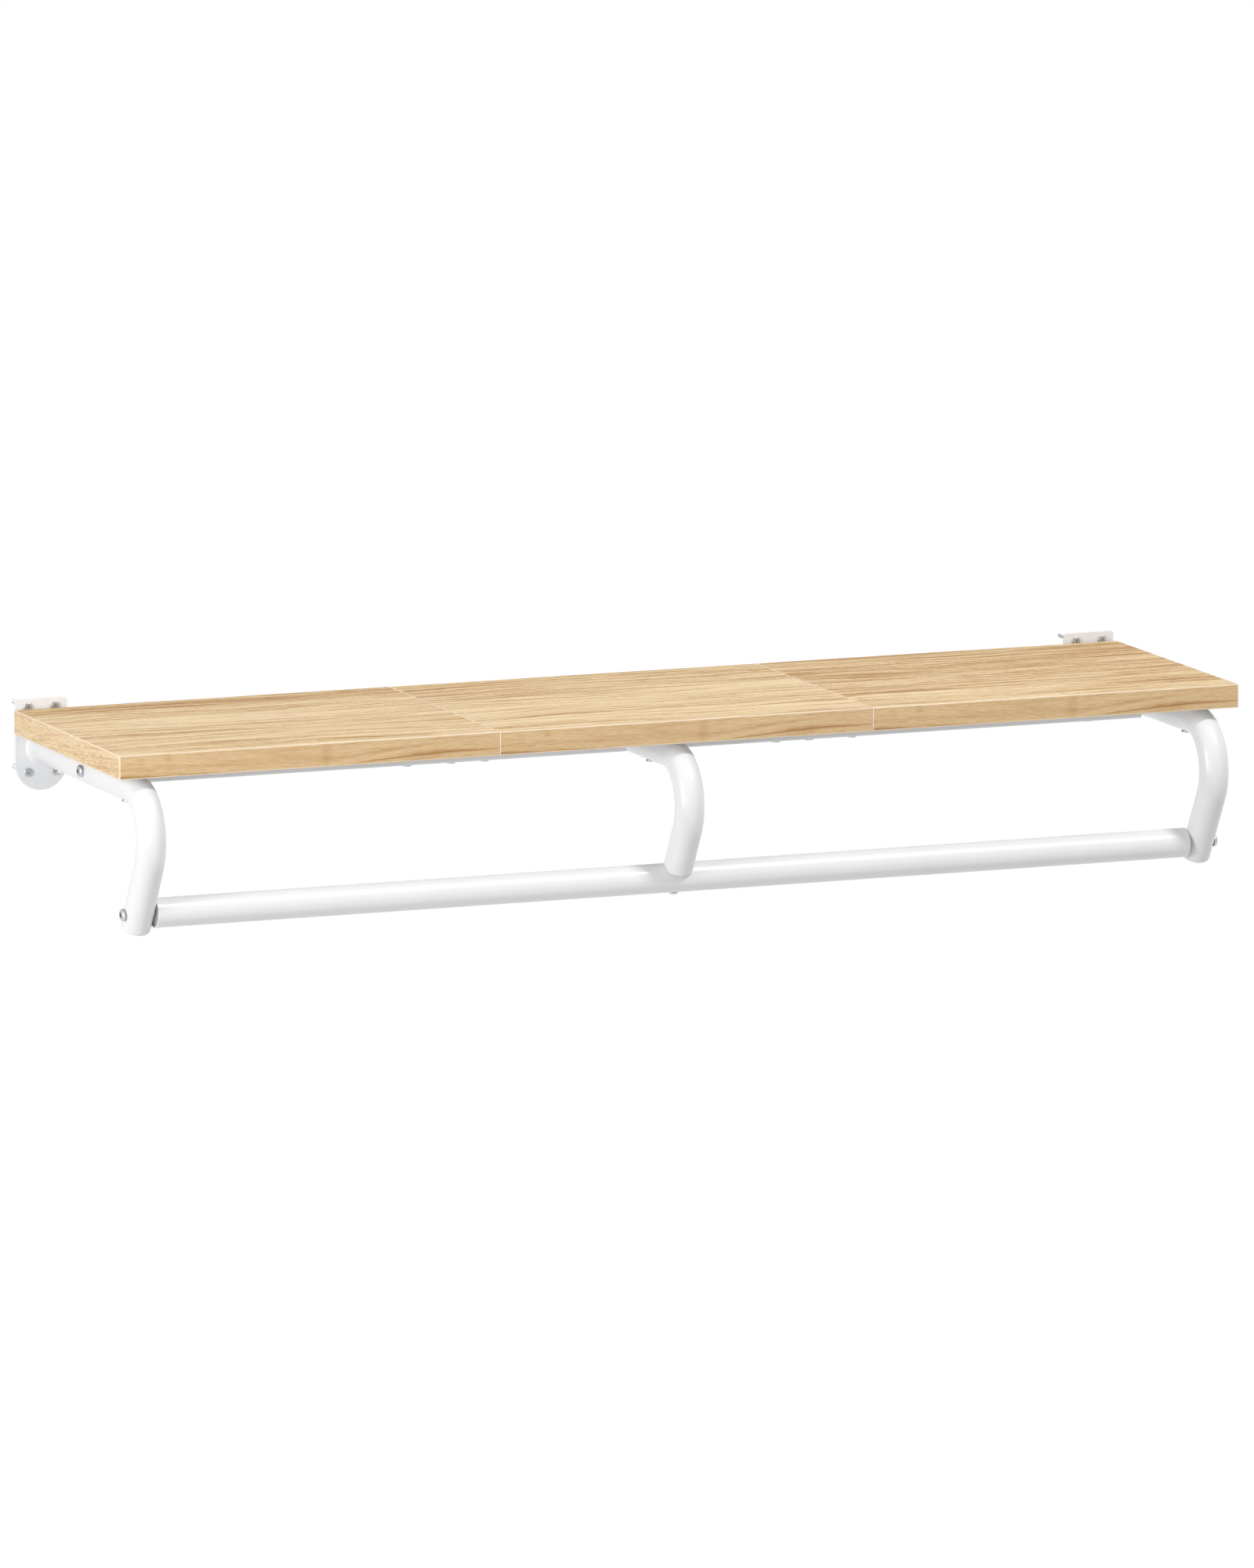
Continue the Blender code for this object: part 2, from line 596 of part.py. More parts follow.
def add_caps():
    """A plastic cap in the open lower end of each outer arm: a flange and a spigot."""
    spigot = CAP_SPIGOT_SHARE * (ARM_TAIL - BOLT_DIAMETER / 2)
    spigot_radius = ARM_BORE - BORE_CLEARANCE
    corner = (ARM_RADIUS - CAP_EDGE_RADIUS, CAP_EDGE_RADIUS - CAP_FLANGE)
    edge = arc(corner, CAP_EDGE_RADIUS, 0, -math.pi / 2, CORNER_STEPS)
    profile = [(0, spigot), (spigot_radius, spigot), (spigot_radius, -FIT), (ARM_RADIUS, -FIT)]
    profile += edge + [(0, -CAP_FLANGE)]
    for side, sign in SIDES:
        mouth = rail_centre(sign * ARM_X) + ARM_TAIL * DOWN_ARM
        add_turned(f"arm_cap_{side}", profile, WHITE_PLASTIC, matrix_along(mouth, -DOWN_ARM), TURNED_STEPS)


add_boards()
add_plates()
add_outer_arms()
add_middle_arm()
add_crossbar()
add_rail()
add_inserts()
add_bolts()
add_board_screws()
add_caps()
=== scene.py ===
"""Wall shelf with a hanging rail: the looks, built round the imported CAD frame.

Three oak decor boards lie on bent white steel tubes. Each group of like pieces has an operator,
and the sizes and colours that a user would change are properties of the scene.

Metres, +Z up, -Y to the room. The origin is on the wall, halfway along the shelf, level with the
top of the boards.
"""

import math

import bmesh
import bpy
from bpy.props import FloatProperty, FloatVectorProperty, IntProperty, PointerProperty
from mathutils import Matrix, Vector


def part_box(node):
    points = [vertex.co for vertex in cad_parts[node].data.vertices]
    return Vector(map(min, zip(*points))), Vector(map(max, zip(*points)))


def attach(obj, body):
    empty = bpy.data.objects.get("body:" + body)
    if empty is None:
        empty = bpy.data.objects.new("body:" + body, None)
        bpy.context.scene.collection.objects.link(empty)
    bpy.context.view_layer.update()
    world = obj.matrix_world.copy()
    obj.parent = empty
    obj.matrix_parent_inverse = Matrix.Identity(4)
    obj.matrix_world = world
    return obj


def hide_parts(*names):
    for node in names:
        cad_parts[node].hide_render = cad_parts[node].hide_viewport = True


bl_info = {
    "name": "Wall shelf with hanging rail",
    "version": (1, 0, 0),
    "blender": (4, 5, 0),
    "location": "3D View > Sidebar > Wall shelf",
    "description": "Builds the boards, tubes, plates and fasteners of a wall shelf with a hanging rail",
    "category": "Object",
}

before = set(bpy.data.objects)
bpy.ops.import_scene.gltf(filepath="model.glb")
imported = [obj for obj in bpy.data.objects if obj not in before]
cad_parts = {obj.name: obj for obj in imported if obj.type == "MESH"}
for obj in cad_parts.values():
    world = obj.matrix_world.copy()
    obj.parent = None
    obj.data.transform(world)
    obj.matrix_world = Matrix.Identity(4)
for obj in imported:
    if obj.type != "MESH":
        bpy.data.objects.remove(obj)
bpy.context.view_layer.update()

SIDES = (("left", -1), ("right", 1))
BOARDS = ("left", "middle", "right")
SCREW_PLACES = ("upper_left", "upper_right", "lower_left", "lower_right")
MERGE_DISTANCE = 0.000005

# Fine sizes in metres, which a user has no need to change
CLEARANCE = 0.00025
RAIL_GAP = 0.0003
TUBE_RIM = 0.0004
BOLT_HEAD_RIM = 0.0006
SOCKET_DEPTH = 0.0019
SCREW_HEAD_RIM = 0.0008
BOARD_SCREW_DOME = 0.0018
WALL_SCREW_DOME = 0.0014
THREAD_RADIUS = 0.002
CORE_RADIUS = 0.0014
THREAD_PITCH = 0.0018
SCREW_POINT = 0.006
CROSS_LENGTH = 0.0040
CROSS_WIDTH = 0.0008
CROSS_DEPTH = 0.0010
PLUG_LIP = 0.0016
CAP_EDGE = 0.0008

BOARD_DEPTH = 0.254
MIDDLE_BOLT_LENGTH = 0.042

# On the grain map a board's front ends at 0.333, and its end faces lie beyond that
END_FACES_FROM = 0.345
END_FACES_SHIFT = 0.62

# How dark the plain wood is, where 0 is the palest ink and 1 the darkest
BODY_TONE = 0.42


def linear(hex_code):
    """An sRGB hex colour as linear red, green and blue."""
    shares = [int(hex_code[place:place + 2], 16) / 255 for place in (1, 3, 5)]
    return tuple(
        share / 12.92 if share <= 0.04045 else ((share + 0.055) / 1.055) ** 2.4
        for share in shares
    )


def metres(name, description, default):
    """A length that a user may change."""
    return FloatProperty(
        name=name, description=description, default=default, min=0, precision=5,
        subtype="DISTANCE", unit="LENGTH",
    )


def colour_setting(name, description, hex_code):
    """A colour that a user may change."""
    return FloatVectorProperty(
        name=name, description=description, default=linear(hex_code), size=3, min=0, max=1,
        subtype="COLOR",
    )


class ShelfSizes(bpy.types.PropertyGroup):
    """Sizes that the CAD frame's boxes don't give."""

    board_edge: metres("Board edge", "Radius of the scraped edge band", 0.0009)
    tube_wall: metres("Tube wall", "Wall of the round and the box section tube", 0.0015)
    tube_sides: IntProperty(
        name="Tube sides", description="Facets round a tube", default=64, min=12, max=128,
    )
    bend_radius: metres("Bend radius", "Radius of the arms' bend at the tube's axis", 0.040)
    bend_turn: FloatProperty(
        name="Bend", description="How far the arms turn at their bend",
        default=math.radians(120), subtype="ANGLE", unit="ROTATION",
    )
    bend_steps: IntProperty(
        name="Bend steps", description="Facets along the bend", default=40, min=6, max=96,
    )
    bar_corner: metres("Crossbar corner", "Outer corner radius of the box section tube", 0.002)
    plate_corner: metres("Plate corner", "Radius of the plate's upper corners", 0.003)
    plate_edge: metres("Plate edge", "Rounding of the plate's stamped edge", 0.0005)
    plate_hole: metres("Plate hole", "Diameter of the screw holes in the plate", 0.0045)
    weld_bead: metres("Weld bead", "Radius of the bead round an arm's foot", 0.0014)
    bolt_head: metres("Bolt head", "Height of a button head", 0.0031)
    bolt_shank: metres("Bolt shank", "Diameter of the bolts", 0.006)
    socket: metres("Socket", "Width across flats of the hexagon socket", 0.004)
    screw_head: metres("Screw head", "Height of a pan head", 0.0023)
    wall_head: metres("Wall screw head", "Diameter of a wall screw's flatter head", 0.0074)
    cap_flange: metres("Cap flange", "Thickness of an end cap's flange", 0.0015)


class ShelfColours(bpy.types.PropertyGroup):
    """Colours of the finishes, before light falls on them."""

    oak_pale: colour_setting("Oak, pale", "Early wood of the printed decor", "#F8DFB5")
    oak_body: colour_setting("Oak, body", "Most of the printed decor", "#E4C597")
    oak_dark: colour_setting("Oak, dark", "Streaks of the printed decor", "#BF9360")
    backing: colour_setting("Backing paper", "Plain sheet under the boards", "#E4E1DC")
    edge_line: colour_setting("Edge line", "Scraped corner of the edge band", "#FEE8C8")
    coat: colour_setting("Powder coat", "Polyester powder coat on the steel", "#F1F1F1")
    # Painted shade: the plates get a darker, cooler copy of the same coat
    plate_coat_painted_shade: colour_setting("Plate coat", "The same coat on the plates, a cooler white", "#EFF1F3")
    cap: colour_setting("End cap", "Moulded polypropylene caps", "#ECECEB")
    nylon: colour_setting("Nylon plug", "Moulded pale nylon plugs", "#EFEFED")
    zinc: colour_setting("Zinc plating", "Bright zinc on bolts and screws", "#BEC0C2")


def sizes():
    return bpy.context.scene.shelf_sizes


def colours():
    return bpy.context.scene.shelf_colours


# Shader trees


def add_node(tree, kind, inputs=None, **settings):
    """A node with its settings; an input is linked if it is given a socket, and set if not."""
    made = tree.nodes.new(kind)
    for name, value in settings.items():
        setattr(made, name, value)
    for name, value in (inputs or {}).items():
        if isinstance(value, bpy.types.NodeSocket):
            tree.links.new(value, made.inputs[name])
        else:
            made.inputs[name].default_value = value
    return made


def new_finish(name, roughness, metallic=0.0):
    """A material with its shader, ready for its pattern."""
    material = bpy.data.materials.new(name)
    material.use_nodes = True
    tree = material.node_tree
    shader = tree.nodes["Principled BSDF"]
    shader.inputs["Roughness"].default_value = roughness
    shader.inputs["Metallic"].default_value = metallic
    return material, tree, shader


def shade(colour, share=1.0):
    """A colour made darker or lighter by a share, with an alpha of 1."""
    return (*[min(1.0, channel * share) for channel in colour], 1)


def grain_noise(tree, place, along, across, detail, seed=0.0):
    """Noise drawn out along the grain: a grain is as long and as wide as given, in metres."""
    fitted = add_node(tree, "ShaderNodeMapping", {
        "Vector": place, "Location": (seed, seed, 0), "Scale": (along, across, 1),
    }, vector_type="TEXTURE")
    noise = add_node(tree, "ShaderNodeTexNoise", {
        "Vector": fitted.outputs["Vector"], "Scale": 1.0, "Detail": detail, "Roughness": 0.55,
    }, noise_dimensions="2D")
    return noise.outputs["Fac"]


def streaks(tree, place, along, across, detail, seed, low, high):
    """Streaks along the grain: what its noise has between two levels, from nought to one."""
    noise = grain_noise(tree, place, along, across, detail, seed)
    return add_node(tree, "ShaderNodeMapRange", {
        "Value": noise, "From Min": low, "From Max": high,
    }, interpolation_type="SMOOTHSTEP").outputs["Result"]


def weighted_sum(tree, total, parts):
    """A total with some parts added to it, each times its own weight."""
    for part, weight in parts:
        total = add_node(tree, "ShaderNodeMath", {
            0: part, 1: weight, 2: total,
        }, operation="MULTIPLY_ADD").outputs["Value"]
    return total


def beyond(tree, value, level):
    """How far a value lies above a level, and nought below it."""
    over = add_node(tree, "ShaderNodeMath", {0: value, 1: level}, operation="SUBTRACT")
    kept = add_node(tree, "ShaderNodeMath", {0: over.outputs["Value"], 1: 0.0}, operation="MAXIMUM")
    return kept.outputs["Value"]


def colour_at(tree, value, stops):
    """The colour that belongs to a value, from stops of a value and its colour in rising order."""
    scale = add_node(tree, "ShaderNodeValToRGB", {"Fac": value})
    elements = scale.color_ramp.elements
    elements[0].position = stops[0][0]
    elements[1].position = stops[-1][0]
    for place, _ in stops[1:-1]:
        elements.new(place)
    for element, (_, colour) in zip(elements, stops):
        element.color = colour
    return scale.outputs["Color"]


def give_surface(tree, shader, colour, relief, strength, depth):
    """Gives a shader its colour and its relief, as deep as given in metres."""
    tree.links.new(colour, shader.inputs["Base Color"])
    bump = add_node(tree, "ShaderNodeBump", {
        "Strength": strength, "Distance": depth, "Height": relief,
    })
    tree.links.new(bump.outputs["Normal"], shader.inputs["Normal"])


def swayed_grain(tree, sway, slope, seed):
    """The grain map with its lines made wavy, rising by the slope along the board."""
    grain = add_node(tree, "ShaderNodeUVMap", uv_map="grain").outputs["UV"]
    wide = grain_noise(tree, grain, 0.190, 0.075, 1.0, seed)
    fine = grain_noise(tree, grain, 0.060, 0.030, 1.0, seed + 3)
    along = add_node(tree, "ShaderNodeSeparateXYZ", {"Vector": grain}).outputs["X"]
    lift = weighted_sum(tree, -sway / 2, ((wide, sway), (fine, sway / 10), (along, -slope)))
    move = add_node(tree, "ShaderNodeCombineXYZ", {"Y": lift}).outputs["Vector"]
    moved = add_node(tree, "ShaderNodeVectorMath", {0: grain, 1: move}, operation="ADD")
    return moved.outputs["Vector"]


def oak_colour(tree, darkness):
    """The decor's inks, from its pale early wood to its dark streaks."""
    hues = colours()
    return colour_at(tree, darkness, (
        (0.0, shade(hues.oak_pale)), (BODY_TONE, shade(hues.oak_body)),
        (0.80, shade(hues.oak_dark)), (1.0, shade(hues.oak_dark, 0.80)),
    ))


def add_marks(tree, place, marks, darkness):
    """Adds drawn-out marks to a print.

    Each has its middle, its half length and its half width in millimetres, then its turn and tone.
    """
    for *lengths, turn, tone in marks:
        along, across, length, width = [each / 1000 for each in lengths]
        fitted = add_node(tree, "ShaderNodeMapping", {
            "Vector": place, "Location": (along, across, 0), "Rotation": (0, 0, turn),
            "Scale": (length, width, 1),
        }, vector_type="TEXTURE").outputs["Vector"]
        off = add_node(tree, "ShaderNodeVectorMath", {0: fitted}, operation="LENGTH")
        mark = add_node(tree, "ShaderNodeMapRange", {
            "Value": off.outputs["Value"], "From Min": 0.15, "To Min": 1.0, "To Max": 0.0,
        }, interpolation_type="SMOOTHSTEP")
        darkness = weighted_sum(tree, darkness, ((mark.outputs["Result"], tone),))
    return darkness


def oak_decor(side, seed, slope, tones, marks):
    """Oak decor laminate: printed paper under a thin matt melamine skin, pressed with fine pores.

    It looks like pale oak with long wavy lines, and it shines only a little. Each board is cut
    from another part of the print, so each has its own marks and its own tones across it, given
    as places from the front and how dark the print is there, both in percent.
    """
    material, tree, shader = new_finish(f"oak_decor_laminate_{side}", 0.70)
    shader.inputs["Specular IOR Level"].default_value = 0.3
    wavy = swayed_grain(tree, 0.024, slope, seed)
    bands = streaks(tree, wavy, 0.520, 0.018, 1.0, seed, 0.36, 0.66)
    lines = streaks(tree, wavy, 0.300, 0.0058, 2.0, seed + 1, 0.44, 0.65)
    threads = streaks(tree, wavy, 0.140, 0.0031, 2.0, seed + 6, 0.42, 0.65)
    dashes = streaks(tree, wavy, 0.022, 0.0028, 1.0, seed + 4, 0.50, 0.68)
    # Fibres and pores are drawn about three times as wide as in the print, so that they show
    fibres = grain_noise(tree, wavy, 0.0060, 0.0020, 2.0, seed + 2)
    pores = streaks(tree, wavy, 0.010, 0.0009, 1.0, seed + 5, 0.60, 0.72)
    across = add_node(tree, "ShaderNodeSeparateXYZ", {"Vector": wavy}).outputs["Y"]
    share = add_node(tree, "ShaderNodeMath", {0: across, 1: BOARD_DEPTH}, operation="DIVIDE")
    greys = [(place / 100, shade((1, 1, 1), dark / 100)) for place, dark in tones]
    darkness = weighted_sum(tree, colour_at(tree, share.outputs["Value"], greys), (
        (bands, 0.18), (lines, 0.45), (threads, 0.56), (dashes, 0.24), (fibres, 0.76),
    ))
    darkness = add_marks(tree, wavy, marks, darkness)
    # Pores are four times as strong in the dark lines as between them
    strength = add_node(tree, "ShaderNodeMapRange", {
        "Value": lines, "To Min": 0.25,
    }, interpolation_type="SMOOTHSTEP").outputs["Result"]
    speckle = weighted_sum(tree, 0.0, ((pores, strength),))
    darkness = weighted_sum(tree, darkness, ((1.0, -0.83), (speckle, 0.14)))
    # The print's darkest lines are softened, as ink soaks in
    darkness = weighted_sum(tree, darkness, ((beyond(tree, darkness, BODY_TONE), -0.32),))
    relief = weighted_sum(tree, fibres, ((speckle, -1.0),))
    give_surface(tree, shader, oak_colour(tree, darkness), relief, 0.6, 0.00006)
    return material


def oak_edge_band():
    """Oak edge band: a printed plastic strip, glued round each board and scraped flush.

    The same length of print comes round on each board: even and tan, with a streak that climbs
    from the lower edge towards the board's right end.
    """
    material, tree, shader = new_finish("oak_edge_band", 0.45)
    wavy = swayed_grain(tree, 0.003, 0.0, 11.0)
    place = add_node(tree, "ShaderNodeSeparateXYZ", {"Vector": wavy}).outputs
    along = place["X"]
    dip = add_node(tree, "ShaderNodeMapRange", {
        "Value": along, "From Max": 0.130, "To Min": 0.0026, "To Max": 0.0,
    }, interpolation_type="SMOOTHSTEP").outputs["Result"]
    rise = add_node(tree, "ShaderNodeMapRange", {
        "Value": along, "From Min": 0.150, "From Max": 0.310, "To Max": 0.0052,
    }, interpolation_type="SMOOTHSTEP").outputs["Result"]
    # On the end faces the lines rise to the front
    climb = weighted_sum(tree, rise, ((dip, 1.0), (beyond(tree, along, END_FACES_FROM), -0.10)))
    level = weighted_sum(tree, place["Y"], ((climb, -1.0),))
    flow = add_node(tree, "ShaderNodeCombineXYZ", {"X": along, "Y": level}).outputs["Vector"]
    bands = streaks(tree, flow, 0.120, 0.0060, 2.0, 11.0, 0.34, 0.70)
    lines = streaks(tree, flow, 0.044, 0.0021, 2.0, 12.0, 0.48, 0.66)
    fibres = grain_noise(tree, flow, 0.0090, 0.0008, 2.0, 13.0)
    darkness = weighted_sum(tree, 0.25, ((bands, 0.11), (lines, 0.07), (fibres, 0.42)))
    darkness = add_marks(tree, flow, (
        (268, -19.4, 90, 1.2, 0, 0.34), (285, -19.0, 60, 3, 0, 0.18),
        (262, -17.2, 40, 1.6, 0, 0.14), (250, -12.0, 50, 2, 0, 0.10),
        (2, -22.6, 70, 4.2, 0, 0.60), (75, -19.6, 35, 1.4, 0, 0.34),
        (42, -5.0, 6, 6, 0, 0.12), (182, -8.0, 8, 12, 0, 0.09),
    ), darkness)
    # On the end faces the band is painted paler, as painted light where the ends catch more light, and
    # its lines have more contrast
    end_painted_light_and_contrast = weighted_sum(tree, -1.01, ((darkness, 1.6),))
    at_end = add_node(tree, "ShaderNodeMapRange", {
        "Value": along, "From Min": END_FACES_FROM - 0.010, "From Max": END_FACES_FROM,
    }, interpolation_type="SMOOTHSTEP").outputs["Result"]
    # Painted light: the end faces are paler than the front
    darkness = weighted_sum(tree, darkness, ((end_painted_light_and_contrast, at_end),))
    give_surface(tree, shader, oak_colour(tree, darkness), fibres, 0.5, 0.00003)
    return material


def backing_paper():
    """Backing paper: a plain pale sheet under each board that keeps it flat, with a faint grain."""
    material, tree, shader = new_finish("pale_backing_paper", 0.65)
    paper = colours().backing
    wavy = swayed_grain(tree, 0.020, 0.0, 23.0)
    bands = grain_noise(tree, wavy, 0.300, 0.014, 2.0, 23.0)
    fibres = grain_noise(tree, wavy, 0.040, 0.0020, 2.0, 24.0)
    cloud = weighted_sum(tree, 0.0, ((bands, 0.5), (fibres, 0.5)))
    tint = colour_at(tree, cloud, ((0.35, shade(paper, 0.86)), (0.62, shade(paper, 1.02))))
    give_surface(tree, shader, tint, fibres, 0.5, 0.00004)
    return material


def scraped_edge_with_painted_shade():
    """The scraped corner of the edge band: bare plastic, paler than the print, with scraper marks.

    Where the corner faces forward and up, as along the front top edge, it is painted darker: painted
    shade.
    """
    material, tree, shader = new_finish("scraped_edge_band_corner", 0.40)
    place = add_node(tree, "ShaderNodeTexCoord").outputs
    marks = add_node(tree, "ShaderNodeTexNoise", {
        "Vector": place["Object"], "Scale": 1 / 0.012, "Detail": 3.0,
    }).outputs["Fac"]
    normal = add_node(tree, "ShaderNodeSeparateXYZ", {"Vector": place["Normal"]}).outputs
    # Painted shade: the corner is darker the more it faces forward and up
    front = weighted_sum(tree, 0.0, ((normal["Y"], normal["Z"]),))
    darker = add_node(tree, "ShaderNodeMath", {0: front, 1: 0.0}, operation="MINIMUM")
    marks = weighted_sum(tree, marks, ((darker.outputs["Value"], 1.0),))
    line = colours().edge_line
    tint = colour_at(tree, marks, ((0.0, shade(line, 0.85)), (0.70, shade(line))))
    tree.links.new(tint, shader.inputs["Base Color"])
    return material


def mottled_finish(name, colour, roughness, blotch, skin, depth, darkest, ior=None):
    """One finish all over: faint blotches of a given size, and a skin with a given grain and depth.

    Several operators share it, so it is made only once. Where no ior is given, it is a metal.
    """
    known = bpy.data.materials.get(name)
    if known:
        return known
    material, tree, shader = new_finish(name, roughness, 0.0 if ior else 1.0)
    if ior:
        shader.inputs["IOR"].default_value = ior
    place = add_node(tree, "ShaderNodeTexCoord").outputs["Object"]
    cloud, peel = (
        add_node(tree, "ShaderNodeTexNoise", {
            "Vector": place, "Scale": 1 / size, "Detail": detail,
        }).outputs["Fac"]
        for size, detail in ((blotch, 2.0), (skin, 1.0))
    )
    tint = colour_at(tree, cloud, ((0.30, shade(colour, darkest)), (0.62, shade(colour))))
    give_surface(tree, shader, tint, peel, 1.0, depth)
    rough = add_node(tree, "ShaderNodeMapRange", {
        "Value": cloud, "From Min": 0.25, "From Max": 0.75,
        "To Min": roughness * 1.12, "To Max": roughness * 0.92,
    }, interpolation_type="SMOOTHSTEP")
    tree.links.new(rough.outputs["Result"], shader.inputs["Roughness"])
    return material


def powder_coat(shaded_plate_copy=False):
    """White powder coat: polyester powder baked on steel, with a faint orange peel and a soft gloss.

    On the plates it is a slightly darker, cooler white: painted shade, a shaded copy of the same coat.
    """
    name, colour = "white_powder_coat", colours().coat
    # The plates take the shaded copy of the coat: painted shade
    if shaded_plate_copy:
        name, colour = "white_powder_coat_plates_painted_shade", colours().plate_coat_painted_shade
    return mottled_finish(name, colour, 0.24, 0.060, 0.0030, 0.000012, 0.985, ior=1.5)


def cap_plastic():
    """White polypropylene: moulded in a sparked mould, so it has a finer and duller skin."""
    return mottled_finish(
        "white_moulded_polypropylene", colours().cap, 0.42, 0.020, 0.0011, 0.000012, 0.98, ior=1.49,
    )


def plug_nylon():
    """Pale nylon: moulded plugs, a dull greyish white, with a few paler flow marks."""
    return mottled_finish(
        "grey_moulded_nylon", colours().nylon, 0.50, 0.006, 0.0010, 0.000006, 0.94, ior=1.53,
    )


def bright_zinc():
    """Bright zinc plating: electroplated steel, silver grey, a little cloudy, with fine tool marks."""
    return mottled_finish(
        "bright_zinc_plated_steel", colours().zinc, 0.38, 0.0035, 0.0008, 0.00001, 0.84,
    )


# Shapes


def facing(place, direction):
    """Turns local +Z to the direction, at the place."""
    turn = Vector(direction).to_track_quat("Z", "Y")
    return Matrix.Translation(place) @ turn.to_matrix().to_4x4()


def box_shape(node):
    """A shape that fills a CAD node's box, and the box's two corners."""
    low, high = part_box(node)
    matrix = Matrix.Translation((low + high) / 2) @ Matrix.Diagonal((*(high - low), 1))
    shape = bmesh.new()
    bmesh.ops.create_cube(shape, size=1, matrix=matrix)
    return shape, low, high


def end_middle(node, axis, sign):
    """The middle of a CAD box's end, on the low or the high side of an axis."""
    low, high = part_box(node)
    point = (low + high) / 2
    point[axis] = high[axis] if sign > 0 else low[axis]
    return point


def span(edge, axis):
    """How far an edge reaches along an axis."""
    first, second = edge.verts
    return abs(first.co[axis] - second.co[axis])


def mesh_from(name, shape):
    """A mesh made from a shape, which is then freed."""
    mesh = bpy.data.meshes.new(name)
    shape.to_mesh(mesh)
    shape.free()
    return mesh


def new_object(name, data):
    """A new object in the scene."""
    made = bpy.data.objects.new(name, data)
    bpy.context.scene.collection.objects.link(made)
    return made


def add_piece(name, shape, materials, nodes, keep_shading=False):
    """A finished piece of the shelf, in place of the CAD nodes that it stands for."""
    mesh = mesh_from(name, shape)
    for material in materials:
        mesh.materials.append(material)
    if not keep_shading:
        mesh.shade_smooth()
        mesh.set_sharp_from_angle(angle=math.radians(35))
    piece = new_object(name, mesh)
    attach(piece, "root")
    if nodes:
        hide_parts(*nodes)
    return piece


def round_edges(shape, edges, radius, segments):
    """Rounds some edges, and gives the new faces."""
    made = bmesh.ops.bevel(
        shape, geom=edges, offset=radius, offset_type="OFFSET", segments=segments, profile=0.5,
        affect="EDGES", clamp_overlap=True, material=-1,
    )
    return made["faces"]


def spin_round(shape, parts, steps):
    """Spins parts of a shape once round local Z, and closes the seam."""
    bmesh.ops.spin(
        shape, geom=parts, cent=(0, 0, 0), axis=(0, 0, 1), angle=math.tau, steps=steps,
        use_merge=True, use_duplicate=False,
    )
    bmesh.ops.remove_doubles(shape, verts=shape.verts, dist=MERGE_DISTANCE)
    bmesh.ops.recalc_face_normals(shape, faces=shape.faces)


def turned(profile, steps, ring=False):
    """A turned shape about local Z: an outline of radius and height, spun round once."""
    shape = bmesh.new()
    corners = [shape.verts.new((radius, 0, height)) for radius, height in profile]
    edges = [shape.edges.new(pair) for pair in zip(corners, corners[1:])]
    if ring:
        edges.append(shape.edges.new((corners[-1], corners[0])))
    spin_round(shape, corners + edges, steps)
    return shape


def crown(head_radius, head_height, rim, share=0.5, steps=9):
    """The side of a domed head, from its flat top, a share of its width, down to its rim."""
    flat = head_radius * share
    points = []
    for step in range(steps + 1):
        angle = math.pi / 2 * (1 - step / steps)
        radius = flat + (head_radius - flat) * math.cos(angle)
        points.append((radius, rim + (head_height - rim) * math.sin(angle)))
    return points


def cut_shape(shape, cutter):
    """The shape with the cutter taken out of it."""
    blank = new_object("blank", mesh_from("blank", shape))
    tool = new_object("cutter", mesh_from("cutter", cutter))
    cut = blank.modifiers.new("cut", "BOOLEAN")
    cut.operation = "DIFFERENCE"
    cut.solver = "EXACT"
    cut.object = tool
    graph = bpy.context.evaluated_depsgraph_get()
    mesh = bpy.data.meshes.new_from_object(blank.evaluated_get(graph))
    made = bmesh.new()
    made.from_mesh(mesh)
    for obj in (blank, tool):
        bpy.data.objects.remove(obj, do_unlink=True)
    bpy.data.meshes.remove(mesh)
    return made


def edges_among(shape, parts):
    """The edges of a shape that join points among some parts."""
    points = {part for part in parts if isinstance(part, bmesh.types.BMVert)}
    return [edge for edge in shape.edges if set(edge.verts) <= points]


def open_ring(shape, place, direction, radius):
    """The first ring of a tube, square to its direction."""
    made = bmesh.ops.create_circle(
        shape, segments=sizes().tube_sides, radius=radius, matrix=facing(place, direction),
    )
    return edges_among(shape, made["verts"])


def run_on(shape, edges, step):
    """Draws a tube's open end straight on, and gives its new end."""
    grown = bmesh.ops.extrude_edge_only(shape, edges=edges)["geom"]
    moved = [part for part in grown if isinstance(part, bmesh.types.BMVert)]
    bmesh.ops.translate(shape, verts=moved, vec=step)
    return edges_among(shape, moved)


def bend_on(shape, edges, centre):
    """Turns a tube's open end round the bend, and gives its new end."""
    ends = list({vert for edge in edges for vert in edge.verts})
    made = bmesh.ops.spin(
        shape, geom=ends + edges, cent=centre, axis=(1, 0, 0), angle=sizes().bend_turn,
        steps=sizes().bend_steps, use_merge=False, use_duplicate=False,
    )
    return edges_among(shape, made["geom_last"])


def arm_axis(node):
    """An arm's tube radius and its axis: its start, its bend's centre and end, and the way down."""
    low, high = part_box(node)
    radius = (high.x - low.x) / 2
    bend_radius = sizes().bend_radius
    start = Vector(((high.x + low.x) / 2, high.y, high.z - radius))
    bend = Vector((start.x, low.y + radius + bend_radius, start.z - bend_radius))
    slant = sizes().bend_turn - math.pi / 2
    down = Vector((0, math.sin(slant), -math.cos(slant)))
    bend_end = bend + bend_radius * Vector((0, down.z, -down.y))
    return radius, start, bend, bend_end, down


def bent_tube(node):
    """An arm's tube from its start round its bend, and its open end."""
    radius, start, bend, _, _ = arm_axis(node)
    shape = bmesh.new()
    end = open_ring(shape, start, (0, -1, 0), radius)
    end = run_on(shape, end, Vector((0, bend.y - start.y, 0)))
    return shape, bend_on(shape, end, bend)


